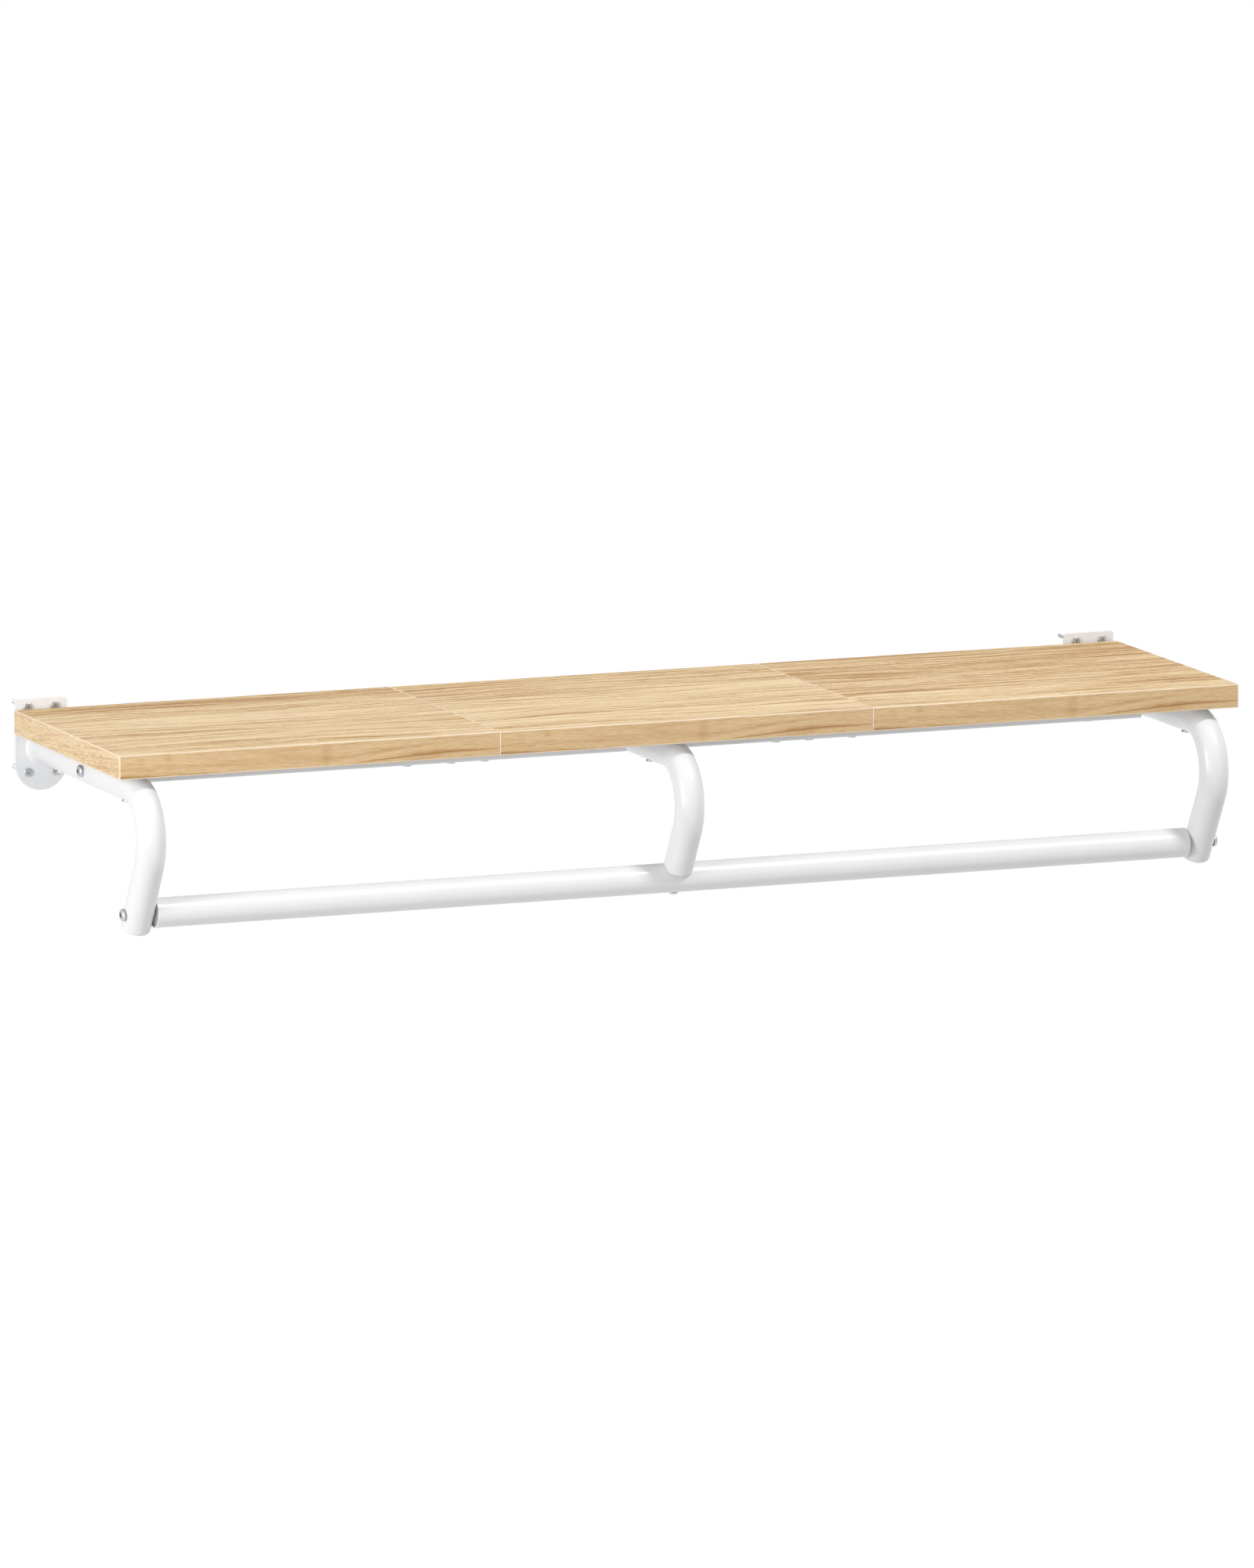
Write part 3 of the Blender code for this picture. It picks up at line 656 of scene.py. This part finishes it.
def add_tube(name, shape, node, keep_shading=False):
    """A coated tube, with its wall inwards from its outer face and its cut ends rounded."""
    bmesh.ops.recalc_face_normals(shape, faces=shape.faces)
    tube = add_piece(name, shape, [powder_coat()], [node], keep_shading)
    solidify = tube.modifiers.new("wall", "SOLIDIFY")
    solidify.thickness = sizes().tube_wall
    solidify.offset = -1
    solidify.use_rim = True
    bevel = tube.modifiers.new("rims", "BEVEL")
    bevel.width = TUBE_RIM
    bevel.segments = 3
    bevel.limit_method = "ANGLE"
    bevel.angle_limit = math.radians(60)
    bevel.harden_normals = True


def rail_axis():
    """The rail's radius, and the point halfway along its axis."""
    low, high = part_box("rail")
    return (high.z - low.z) / 2, (low + high) / 2


class WALLSHELF_OT_oak_boards(bpy.types.Operator):
    """Lay the three oak decor boards side by side"""

    bl_idname = "wall_shelf.oak_boards"
    bl_label = "Oak boards"

    # Each board's part of the print: where it starts, how its lines rise to the right, how dark it
    # is from the front edge to the back, and its longest marks
    prints = {
        "left": (2.0, 0.000, (
            (0, 10), (6, 12), (14, 24), (28, 28), (40, 30), (50, 14), (66, 24), (80, 24), (88, 50),
            (95, 66), (100, 62),
        ), (
            (181, 86, 75, 4, -0.12, 0.46), (270, 80, 90, 7, 0.02, 0.18),
            (40, 90, 60, 6, 0.04, 0.20), (70, 40, 110, 10, 0.03, 0.18),
            (120, 238, 200, 7, 0.00, 0.22),
        )),
        "middle": (7.0, 0.006, (
            (0, 20), (10, 12), (16, 0), (26, 30), (36, 14), (50, 14), (62, 14), (72, 46), (82, 34),
            (90, 36), (100, 54),
        ), (
            (240, 235, 85, 4.5, -0.11, 0.42), (30, 190, 50, 12, 0.00, 0.18),
            (105, 195, 45, 10, 0.05, 0.16), (280, 68, 70, 4.5, 0.03, 0.32),
            (120, 36, 120, 5.5, 0.00, -0.20),
        )),
        "right": (13.0, 0.010, (
            (0, 34), (12, 30), (28, 42), (36, 42), (50, 52), (62, 54), (74, 60), (86, 54), (100, 48),
        ), (
            (300, 178, 45, 7.5, 0.00, 0.34), (50, 95, 65, 6, 0.05, 0.26),
            (180, 108, 75, 8, 0.10, 0.18), (250, 58, 65, 4.5, 0.12, 0.32),
            (20, 183, 40, 8, 0.00, 0.22),
        )),
    }

    def execute(self, context):
        band = oak_edge_band()
        line = scraped_edge_with_painted_shade()
        backing = backing_paper()
        for side in BOARDS:
            shape, low, _ = box_shape(f"board_{side}")
            corners = set(round_edges(shape, shape.edges[:], sizes().board_edge, 3))
            self.lay_grain(shape, low)
            for face in shape.faces:
                face.smooth = face in corners
                hidden = face.normal.y > 0.3 or face.normal.x > 0.3
                if face in corners:
                    face.material_index = 1 if hidden else 2
                elif abs(face.normal.z) < 0.9:
                    face.material_index = 1
                else:
                    face.material_index = 0 if face.normal.z > 0 else 3
            decor = oak_decor(side, *self.prints[side])
            add_piece(
                f"oak_board_{side}", shape, [decor, band, line, backing], [f"board_{side}"],
                keep_shading=True,
            )
        return {"FINISHED"}

    def lay_grain(self, shape, low):
        """The grain map in metres: along the grain, then across it from the board's front or top."""
        layer = shape.loops.layers.uv.new("grain")
        for face in shape.faces:
            flat = abs(face.normal.z) > 0.7
            front = abs(face.normal.y) > 0.7
            for loop in face.loops:
                place = loop.vert.co
                if flat:
                    loop[layer].uv = (place.x - low.x, place.y - low.y)
                elif front:
                    loop[layer].uv = (place.x - low.x, place.z)
                else:
                    loop[layer].uv = (place.y + END_FACES_SHIFT, place.z)


class WALLSHELF_OT_wall_plates(bpy.types.Operator):
    """Cut the two wall plates, with a half round foot and four screw holes each"""

    bl_idname = "wall_shelf.wall_plates"
    bl_label = "Wall plates"

    def execute(self, context):
        for side, _ in SIDES:
            shape, low, high = box_shape(f"wall_plate_{side}")
            middle_z = (low.z + high.z) / 2
            through = [edge for edge in shape.edges if span(edge, 1) > (high.y - low.y) / 2]
            feet = [edge for edge in through if edge.verts[0].co.z < middle_z]
            tops = [edge for edge in through if edge.verts[0].co.z > middle_z]
            round_edges(shape, tops, sizes().plate_corner, 8)
            # The foot's two roundings end a hair apart, and the points between them are joined
            hair = 0.00001
            round_edges(shape, feet, (high.x - low.x) / 2 - hair, 28)
            bmesh.ops.remove_doubles(shape, verts=shape.verts, dist=4 * hair)
            outline = [edge for edge in shape.edges if span(edge, 1) < hair]
            rounded = set(round_edges(shape, outline, sizes().plate_edge, 3))
            for face in shape.faces:
                face.smooth = face in rounded or abs(face.normal.y) < 0.5
            shape = cut_shape(shape, self.drills(side, (low.y + high.y) / 2))
            add_piece(
                f"steel_plate_{side}", shape, [powder_coat(shaded_plate_copy=True)],
                [f"wall_plate_{side}"], keep_shading=True,
            )
        return {"FINISHED"}

    def drills(self, side, middle_y):
        """A round cutter for each of the plate's screws."""
        tools = bmesh.new()
        radius = sizes().plate_hole / 2
        for place in SCREW_PLACES:
            middle = end_middle(f"wall_screw_{side}_{place}", 1, -1)
            middle.y = middle_y
            bmesh.ops.create_cone(
                tools, segments=32, radius1=radius, radius2=radius, depth=0.01, cap_ends=True,
                matrix=facing(middle, (0, 1, 0)),
            )
        for face in tools.faces:
            face.smooth = True
        return tools


class WALLSHELF_OT_outer_arms(bpy.types.Operator):
    """Bend the two outer arms from the wall plates down to the rail"""

    bl_idname = "wall_shelf.outer_arms"
    bl_label = "Outer arms"

    def execute(self, context):
        for side, _ in SIDES:
            node = f"arm_{side}"
            radius, _, _, bend_end, down = arm_axis(node)
            low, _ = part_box(node)
            shape, end = bent_tube(node)
            run_on(shape, end, down * ((bend_end.z - low.z - radius * down.y) / -down.z))
            add_tube(f"bent_tube_{side}", shape, node)
        return {"FINISHED"}


class WALLSHELF_OT_middle_arm(bpy.types.Operator):
    """Bend the middle arm from the crossbar to its saddle on the rail"""

    bl_idname = "wall_shelf.middle_arm"
    bl_label = "Middle arm"

    def execute(self, context):
        _, _, _, bend_end, down = arm_axis("arm_middle")
        rail_radius, rail_middle = rail_axis()
        reach = rail_radius + RAIL_GAP
        overlap = 0.002
        shape, end = bent_tube("arm_middle")
        mouth = (rail_middle - bend_end).dot(down) - (reach - overlap)
        end = run_on(shape, end, down * mouth)
        self.cope(end, rail_middle, reach, down)
        add_tube("bent_tube_middle", shape, "arm_middle")
        return {"FINISHED"}

    def cope(self, end, rail_middle, reach, down):
        """Draws the mouth back where the rail stands in it, so that it sits round the rail."""
        out = Vector((0, down.z, -down.y))
        for vert in {vert for edge in end for vert in edge.verts}:
            across = (vert.co - rail_middle).dot(out)
            clear = math.sqrt(max(0.0, reach ** 2 - across ** 2))
            left = (rail_middle - vert.co).dot(down)
            if clear > left:
                vert.co += down * (left - clear)


class WALLSHELF_OT_weld_beads(bpy.types.Operator):
    """Run a weld bead round each outer arm's foot on its wall plate"""

    bl_idname = "wall_shelf.weld_beads"
    bl_label = "Weld beads"

    def execute(self, context):
        bead = sizes().weld_bead
        ripples = 24
        ripple_height = 0.10
        for side, _ in SIDES:
            radius, start, _, _, _ = arm_axis(f"arm_{side}")
            plate_low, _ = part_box(f"wall_plate_{side}")
            shape = bmesh.new()
            made = bmesh.ops.create_circle(
                shape, segments=14, radius=bead, matrix=facing((radius, 0, 0.2 * bead), (0, 1, 0)),
            )
            spin_round(shape, made["verts"] + shape.edges[:], 96)
            for vert in shape.verts:
                angle = math.atan2(vert.co.y, vert.co.x)
                vert.co.z *= 1 + ripple_height * math.sin(ripples * angle)
            shape.transform(facing((start.x, plate_low.y, start.z), (0, -1, 0)))
            add_piece(f"weld_bead_{side}", shape, [powder_coat()], [])
        return {"FINISHED"}


class WALLSHELF_OT_crossbar(bpy.types.Operator):
    """Draw the box section crossbar between the outer arms"""

    bl_idname = "wall_shelf.crossbar"
    bl_label = "Crossbar"

    def execute(self, context):
        shape, low, high = box_shape("crossbar")
        ends = [face for face in shape.faces if abs(face.normal.x) > 0.9]
        bmesh.ops.delete(shape, geom=ends, context="FACES_ONLY")
        long_edges = [edge for edge in shape.edges if span(edge, 0) > (high.x - low.x) / 2]
        corners = set(round_edges(shape, long_edges, sizes().bar_corner, 6))
        for face in shape.faces:
            face.smooth = face in corners
        add_tube("box_section_tube", shape, "crossbar", keep_shading=True)
        return {"FINISHED"}


class WALLSHELF_OT_rail(bpy.types.Operator):
    """Draw the round hanging rail between the outer arms"""

    bl_idname = "wall_shelf.rail"
    bl_label = "Hanging rail"

    def execute(self, context):
        low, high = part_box("rail")
        shape = bmesh.new()
        end = open_ring(shape, end_middle("rail", 0, -1), (1, 0, 0), (high.z - low.z) / 2)
        run_on(shape, end, Vector((high.x - low.x, 0, 0)))
        add_tube("hanging_rail", shape, "rail")
        return {"FINISHED"}


class WALLSHELF_OT_caps_and_plugs(bpy.types.Operator):
    """Mould the end caps of the arms and the threaded plugs of the tubes"""

    bl_idname = "wall_shelf.caps_and_plugs"
    bl_label = "Caps and plugs"

    def execute(self, context):
        self.add_caps()
        self.add_rail_plugs()
        for place in ("crossbar_insert_left", "crossbar_insert_right", "arm_insert_middle_front",
                      "arm_insert_middle_rear"):
            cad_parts[place].material_slots[0].material = plug_nylon()
        return {"FINISHED"}

    def add_caps(self):
        """A cap in each outer arm's lower end: a flange with a round edge, and a spigot."""
        settings = sizes()
        flange = settings.cap_flange
        gap = RAIL_GAP
        spigot_length = 0.006
        for side, _ in SIDES:
            radius, _, _, bend_end, down = arm_axis(f"arm_{side}")
            spigot = radius - settings.tube_wall - gap
            profile = [(0, spigot_length), (spigot, spigot_length), (spigot, -gap), (radius, -gap)]
            for step in range(7):
                angle = math.pi / 2 * step / 6
                profile.append((
                    radius - CAP_EDGE + CAP_EDGE * math.cos(angle),
                    CAP_EDGE - flange - gap - CAP_EDGE * math.sin(angle),
                ))
            profile.append((0, -flange - gap))
            shape = turned(profile, settings.tube_sides)
            low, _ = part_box(f"arm_cap_{side}")
            face_z = low.z + radius * down.y
            face = bend_end + down * ((bend_end.z - face_z) / -down.z)
            shape.transform(facing(face - down * (flange + gap), -down))
            add_piece(
                f"end_cap_{side}", shape, [cap_plastic()], [f"arm_cap_{side}"],
            )

    def add_rail_plugs(self):
        """A threaded plug in each end of the rail, with a fine groove round its face."""
        for side, sign in SIDES:
            node = f"rail_insert_{side}"
            low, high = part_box(node)
            radius = (high.z - low.z) / 2
            length = high.x - low.x
            bore = sizes().bolt_shank / 2 + CLEARANCE
            groove = radius - PLUG_LIP
            profile = [
                (radius - 0.0004, 0), (radius, -0.0004), (radius, 0.0008 - length),
                (radius - 0.0008, -length), (bore, -length), (bore, -0.0004), (bore + 0.0004, 0),
                (groove, 0), (groove, -0.0006), (groove + 0.0005, -0.0006), (groove + 0.0005, 0),
            ]
            shape = turned(profile, sizes().tube_sides, ring=True)
            shape.transform(facing(end_middle(node, 0, sign), (sign, 0, 0)))
            add_piece(f"threaded_plug_{side}", shape, [plug_nylon()], [node])


class WALLSHELF_OT_bolts(bpy.types.Operator):
    """Turn the six button head bolts and cut their hexagon sockets"""

    bl_idname = "wall_shelf.bolts"
    bl_label = "Button head bolts"

    def execute(self, context):
        for side, sign in SIDES:
            for node in (f"rail_bolt_{side}", f"crossbar_bolt_{side}"):
                low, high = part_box(node)
                top = end_middle(node, 0, sign)
                self.add_bolt(node, top, (sign, 0, 0), high.x - low.x, high.z - low.z)
        node = "middle_crossbar_bolt"
        low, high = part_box(node)
        width = high.x - low.x
        self.add_bolt(node, end_middle(node, 1, 1), (0, 1, 0), high.y - low.y, width)
        rail_radius, rail_middle = rail_axis()
        _, _, _, _, down = arm_axis("arm_middle")
        top = rail_middle + down * (rail_radius + RAIL_GAP + sizes().bolt_head)
        self.add_bolt("middle_rail_bolt", top, down, MIDDLE_BOLT_LENGTH, width)
        return {"FINISHED"}

    def add_bolt(self, node, top, outward, length, width):
        """A bolt whose head's top lies at a place and faces outward."""
        height = sizes().bolt_head
        radius = sizes().bolt_shank / 2
        profile = [(0, height)]
        profile += crown(width / 2, height, BOLT_HEAD_RIM)
        profile += [(width / 2 - 0.0003, 0), (radius, 0), (radius, height + 0.0008 - length)]
        profile += [(radius - 0.0008, height - length), (0, height - length)]
        corner = sizes().socket / 2 / math.cos(math.pi / 6)
        hexagon = bmesh.new()
        bmesh.ops.create_cone(
            hexagon, segments=6, radius1=corner, radius2=corner, depth=2 * SOCKET_DEPTH,
            cap_ends=True, matrix=Matrix.Translation((0, 0, height)),
        )
        shape = cut_shape(turned(profile, 48), hexagon)
        shape.transform(facing(top - height * Vector(outward), outward))
        add_piece(f"button_head_{node}", shape, [bright_zinc()], [node])


def pan_head_screw(length, head_width, height, flat):
    """A pan head screw about local Z, its head's seat at the origin, with a cut thread."""
    core = CORE_RADIUS
    profile = [(0, height)]
    profile += crown(head_width / 2, height, SCREW_HEAD_RIM, flat)
    profile += [(head_width / 2 - 0.0003, 0), (core + 0.0004, 0), (core, -0.0008)]
    profile += [(core, SCREW_POINT - length), (0, -length)]
    shape = turned(profile, 40)
    for turn in (0, math.pi / 2):
        shape = cut_shape(shape, cross_slot(height, turn))
    ridge = mesh_from("thread", thread_ridge(length))
    shape.from_mesh(ridge)
    bpy.data.meshes.remove(ridge)
    return shape


def cross_slot(height, turn):
    """One slot of a cross recess, as a bar that narrows downwards from a head's top."""
    slot = bmesh.new()
    bmesh.ops.create_cube(slot, size=1)
    for vert in slot.verts:
        if vert.co.z < 0:
            vert.co.x *= 0.45
            vert.co.y *= 0.55
    fitted = Matrix.Diagonal((CROSS_LENGTH, CROSS_WIDTH, 2 * CROSS_DEPTH, 1))
    slot.transform(Matrix.Translation((0, 0, height)) @ Matrix.Rotation(turn, 4, "Z") @ fitted)
    return slot


def thread_ridge(length):
    """The thread alone: a small triangle spun up the shank, drawn in towards the point."""
    core = CORE_RADIUS - 0.0002
    half = 0.28 * THREAD_PITCH
    ridge = bmesh.new()
    top = -0.0035
    corners = [
        ridge.verts.new((core, 0, top + half)),
        ridge.verts.new((THREAD_RADIUS, 0, top)),
        ridge.verts.new((core, 0, top - half)),
    ]
    face = ridge.faces.new(corners)
    steps_in_turn = 20
    turns = (length + top - half - 0.0006) / THREAD_PITCH
    steps = int(turns * steps_in_turn)
    bmesh.ops.spin(
        ridge, geom=[face, *face.edges, *corners], cent=(0, 0, 0), axis=(0, 0, 1),
        dvec=(0, 0, -THREAD_PITCH / steps_in_turn),
        angle=math.tau * steps / steps_in_turn, steps=steps, use_merge=False, use_duplicate=False,
    )
    for vert in ridge.verts:
        left = (vert.co.z + length) / SCREW_POINT
        if left < 1:
            taper = max(0.08, left)
            vert.co.x *= taper
            vert.co.y *= taper
    bmesh.ops.recalc_face_normals(ridge, faces=ridge.faces)
    return ridge


def drive_screw(node, outward, head_width, head_height, flat, degrees):
    """A pan head screw with its head at the low end of its CAD box, turned as a driver left it."""
    axis = outward.index(-1)
    low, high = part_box(node)
    shape = pan_head_screw(
        high[axis] - low[axis] - sizes().screw_head, head_width, head_height, flat,
    )
    seat = end_middle(node, axis, -1)
    seat[axis] = low[axis] + sizes().screw_head
    spun = Matrix.Rotation(math.radians(degrees), 4, "Z")
    shape.transform(facing(seat, outward) @ spun)
    add_piece(f"pan_head_{node}", shape, [bright_zinc()], [node])


class WALLSHELF_OT_board_screws(bpy.types.Operator):
    """Drive the pan head screws up into the boards, through the arms and the crossbar"""

    bl_idname = "wall_shelf.board_screws"
    bl_label = "Board screws"

    def execute(self, context):
        nodes = ["arm_screw_middle"]
        for side, _ in SIDES:
            nodes += [f"arm_screw_{side}_front", f"arm_screw_{side}_rear"]
            nodes += [f"crossbar_screw_{side}_{number}" for number in (1, 2, 3)]
        for number, node in enumerate(sorted(nodes)):
            low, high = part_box(node)
            drive_screw(node, (0, 0, -1), high.x - low.x, BOARD_SCREW_DOME, 0.5, 37 * number)
        return {"FINISHED"}


class WALLSHELF_OT_wall_screws(bpy.types.Operator):
    """Set the eight wall screws in their plates, with their points standing out behind"""

    bl_idname = "wall_shelf.wall_screws"
    bl_label = "Wall screws"

    def execute(self, context):
        width = sizes().wall_head
        nodes = [f"wall_screw_{side}_{place}" for side, _ in SIDES for place in SCREW_PLACES]
        for number, node in enumerate(nodes):
            drive_screw(node, (0, -1, 0), width, WALL_SCREW_DOME, 0.78, 12 + 23 * number)
        return {"FINISHED"}


class WALLSHELF_OT_studio(bpy.types.Operator):
    """Set up the pale floor, the soft lamps, the white surroundings and the camera"""

    bl_idname = "wall_shelf.studio"
    bl_label = "Studio"

    def execute(self, context):
        context.scene.view_settings.view_transform = "Standard"
        self.add_floor()
        self.add_surroundings(context.scene)
        aim = Vector((0, -0.20, -0.07))
        self.add_lamp("front_key", (1.476, -1.996, 3.18), aim, 0.63, 0.63, 77)
        self.add_lamp("left_strip", (-2.35, -1.05, 0.35), aim, 0.3, 1.1, 26)
        self.add_lamp("front_fill", (-1.9, -2.3, 0.1), aim, 1.2, 1.2, 7.5)
        self.add_camera(context.scene)
        return {"FINISHED"}

    def empty_tree(self, owner):
        """The shader tree of a material or a world, with nothing in it yet."""
        owner.use_nodes = True
        owner.node_tree.nodes.clear()
        return owner.node_tree

    def seen_directly(self, tree):
        """One for camera, mirror and glass rays, and nought for the light that falls on things."""
        rays = add_node(tree, "ShaderNodeLightPath").outputs
        seen = rays["Is Camera Ray"]
        for ray in ("Is Glossy Ray", "Is Transmission Ray"):
            more = add_node(tree, "ShaderNodeMath", {0: seen, 1: rays[ray]}, operation="MAXIMUM")
            seen = more.outputs["Value"]
        return seen

    def add_floor(self):
        """A pale floor well below the shelf, which lets views from below through."""
        shape = bmesh.new()
        below = Matrix.Translation((0, 0, -1.40))
        bmesh.ops.create_grid(shape, x_segments=4, y_segments=4, size=9, matrix=below)
        floor = new_object("studio_floor", mesh_from("studio_floor", shape))
        material = bpy.data.materials.new("pale_studio_floor")
        tree = self.empty_tree(material)
        place = add_node(tree, "ShaderNodeTexCoord").outputs["Object"]
        cloud = add_node(tree, "ShaderNodeTexNoise", {"Vector": place, "Scale": 0.8})
        paint = add_node(tree, "ShaderNodeMix", {
            0: cloud.outputs["Fac"], 6: (0.66, 0.66, 0.66, 1), 7: (0.68, 0.68, 0.68, 1),
        }, data_type="RGBA")
        matt = add_node(tree, "ShaderNodeBsdfDiffuse", {"Color": paint.outputs[2]})
        glow = add_node(tree, "ShaderNodeEmission", {
            "Strength": weighted_sum(tree, 0.0, ((self.seen_directly(tree), 0.7),)),
        })
        lit = add_node(tree, "ShaderNodeAddShader", {
            0: matt.outputs["BSDF"], 1: glow.outputs["Emission"],
        })
        clear = add_node(tree, "ShaderNodeBsdfTransparent")
        back = add_node(tree, "ShaderNodeNewGeometry").outputs["Backfacing"]
        both = add_node(tree, "ShaderNodeMixShader", {
            0: back, 1: lit.outputs["Shader"], 2: clear.outputs["BSDF"],
        })
        add_node(tree, "ShaderNodeOutputMaterial", {"Surface": both.outputs["Shader"]})
        floor.data.materials.append(material)

    def add_surroundings(self, scene):
        """White where it is seen, and a softer light where it falls on the shelf."""
        world = bpy.data.worlds.new("white_studio")
        scene.world = world
        tree = self.empty_tree(world)
        seen = add_node(tree, "ShaderNodeBackground", {"Color": (1, 1, 1, 1), "Strength": 1.0})
        soft = add_node(tree, "ShaderNodeBackground", {"Color": (0.99, 0.99, 1, 1), "Strength": 0.47})
        both = add_node(tree, "ShaderNodeMixShader", {
            0: self.seen_directly(tree), 1: soft.outputs["Background"], 2: seen.outputs["Background"],
        })
        add_node(tree, "ShaderNodeOutputWorld", {"Surface": both.outputs["Shader"]})

    def add_lamp(self, name, place, aim, width, height, power):
        """A soft box of a given size that points at the shelf."""
        light = bpy.data.lights.new(name, "AREA")
        light.shape = "RECTANGLE"
        light.size = width
        light.size_y = height
        light.energy = power
        lamp = new_object(name, light)
        lamp.location = place
        lamp.rotation_mode = "QUATERNION"
        lamp.rotation_quaternion = (aim - Vector(place)).to_track_quat("-Z", "Y")

    def add_camera(self, scene):
        """A long lens from the left, a little above, aimed so that the shelf fills the width."""
        camera = bpy.data.cameras.new("shelf_camera")
        camera.lens = 362.74
        camera.clip_start = 0.1
        camera.clip_end = 60
        holder = new_object("shelf_camera", camera)
        azimuth = math.radians(21.974)
        elevation = math.radians(9.417)
        look = Vector((
            math.sin(azimuth) * math.cos(elevation),
            math.cos(azimuth) * math.cos(elevation),
            -math.sin(elevation),
        ))
        right = Vector((math.cos(azimuth), -math.sin(azimuth), 0))
        up = right.cross(look)
        front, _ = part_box("board_middle")
        aside = 0.049636
        below = 0.053246
        distance = 13.068
        centre = Vector((0, front.y, 0)) - aside * right - below * up
        holder.location = centre - distance * look
        holder.rotation_mode = "QUATERNION"
        holder.rotation_quaternion = look.to_track_quat("-Z", "Y")
        scene.camera = holder


OPERATORS = (
    WALLSHELF_OT_oak_boards,
    WALLSHELF_OT_wall_plates,
    WALLSHELF_OT_outer_arms,
    WALLSHELF_OT_middle_arm,
    WALLSHELF_OT_weld_beads,
    WALLSHELF_OT_crossbar,
    WALLSHELF_OT_rail,
    WALLSHELF_OT_caps_and_plugs,
    WALLSHELF_OT_bolts,
    WALLSHELF_OT_board_screws,
    WALLSHELF_OT_wall_screws,
    WALLSHELF_OT_studio,
)


class WALLSHELF_PT_build(bpy.types.Panel):
    """The shelf's pieces, its sizes and its colours"""

    bl_label = "Wall shelf"
    bl_space_type = "VIEW_3D"
    bl_region_type = "UI"
    bl_category = "Wall shelf"

    def draw(self, context):
        layout = self.layout
        for kind in OPERATORS:
            layout.operator(kind.bl_idname)
        for settings in (context.scene.shelf_sizes, context.scene.shelf_colours):
            column = layout.column()
            for name in settings.bl_rna.properties.keys():
                if name not in ("rna_type", "name"):
                    column.prop(settings, name)


CLASSES = (ShelfSizes, ShelfColours, *OPERATORS, WALLSHELF_PT_build)


def register():
    for kind in CLASSES:
        bpy.utils.register_class(kind)
    bpy.types.Scene.shelf_sizes = PointerProperty(type=ShelfSizes)
    bpy.types.Scene.shelf_colours = PointerProperty(type=ShelfColours)


def unregister():
    del bpy.types.Scene.shelf_colours
    del bpy.types.Scene.shelf_sizes
    for kind in reversed(CLASSES):
        bpy.utils.unregister_class(kind)


def main():
    register()
    bpy.ops.wall_shelf.oak_boards()
    bpy.ops.wall_shelf.wall_plates()
    bpy.ops.wall_shelf.outer_arms()
    bpy.ops.wall_shelf.middle_arm()
    bpy.ops.wall_shelf.weld_beads()
    bpy.ops.wall_shelf.crossbar()
    bpy.ops.wall_shelf.rail()
    bpy.ops.wall_shelf.caps_and_plugs()
    bpy.ops.wall_shelf.bolts()
    bpy.ops.wall_shelf.board_screws()
    bpy.ops.wall_shelf.wall_screws()
    bpy.ops.wall_shelf.studio()


if __name__ == "__main__":
    main()
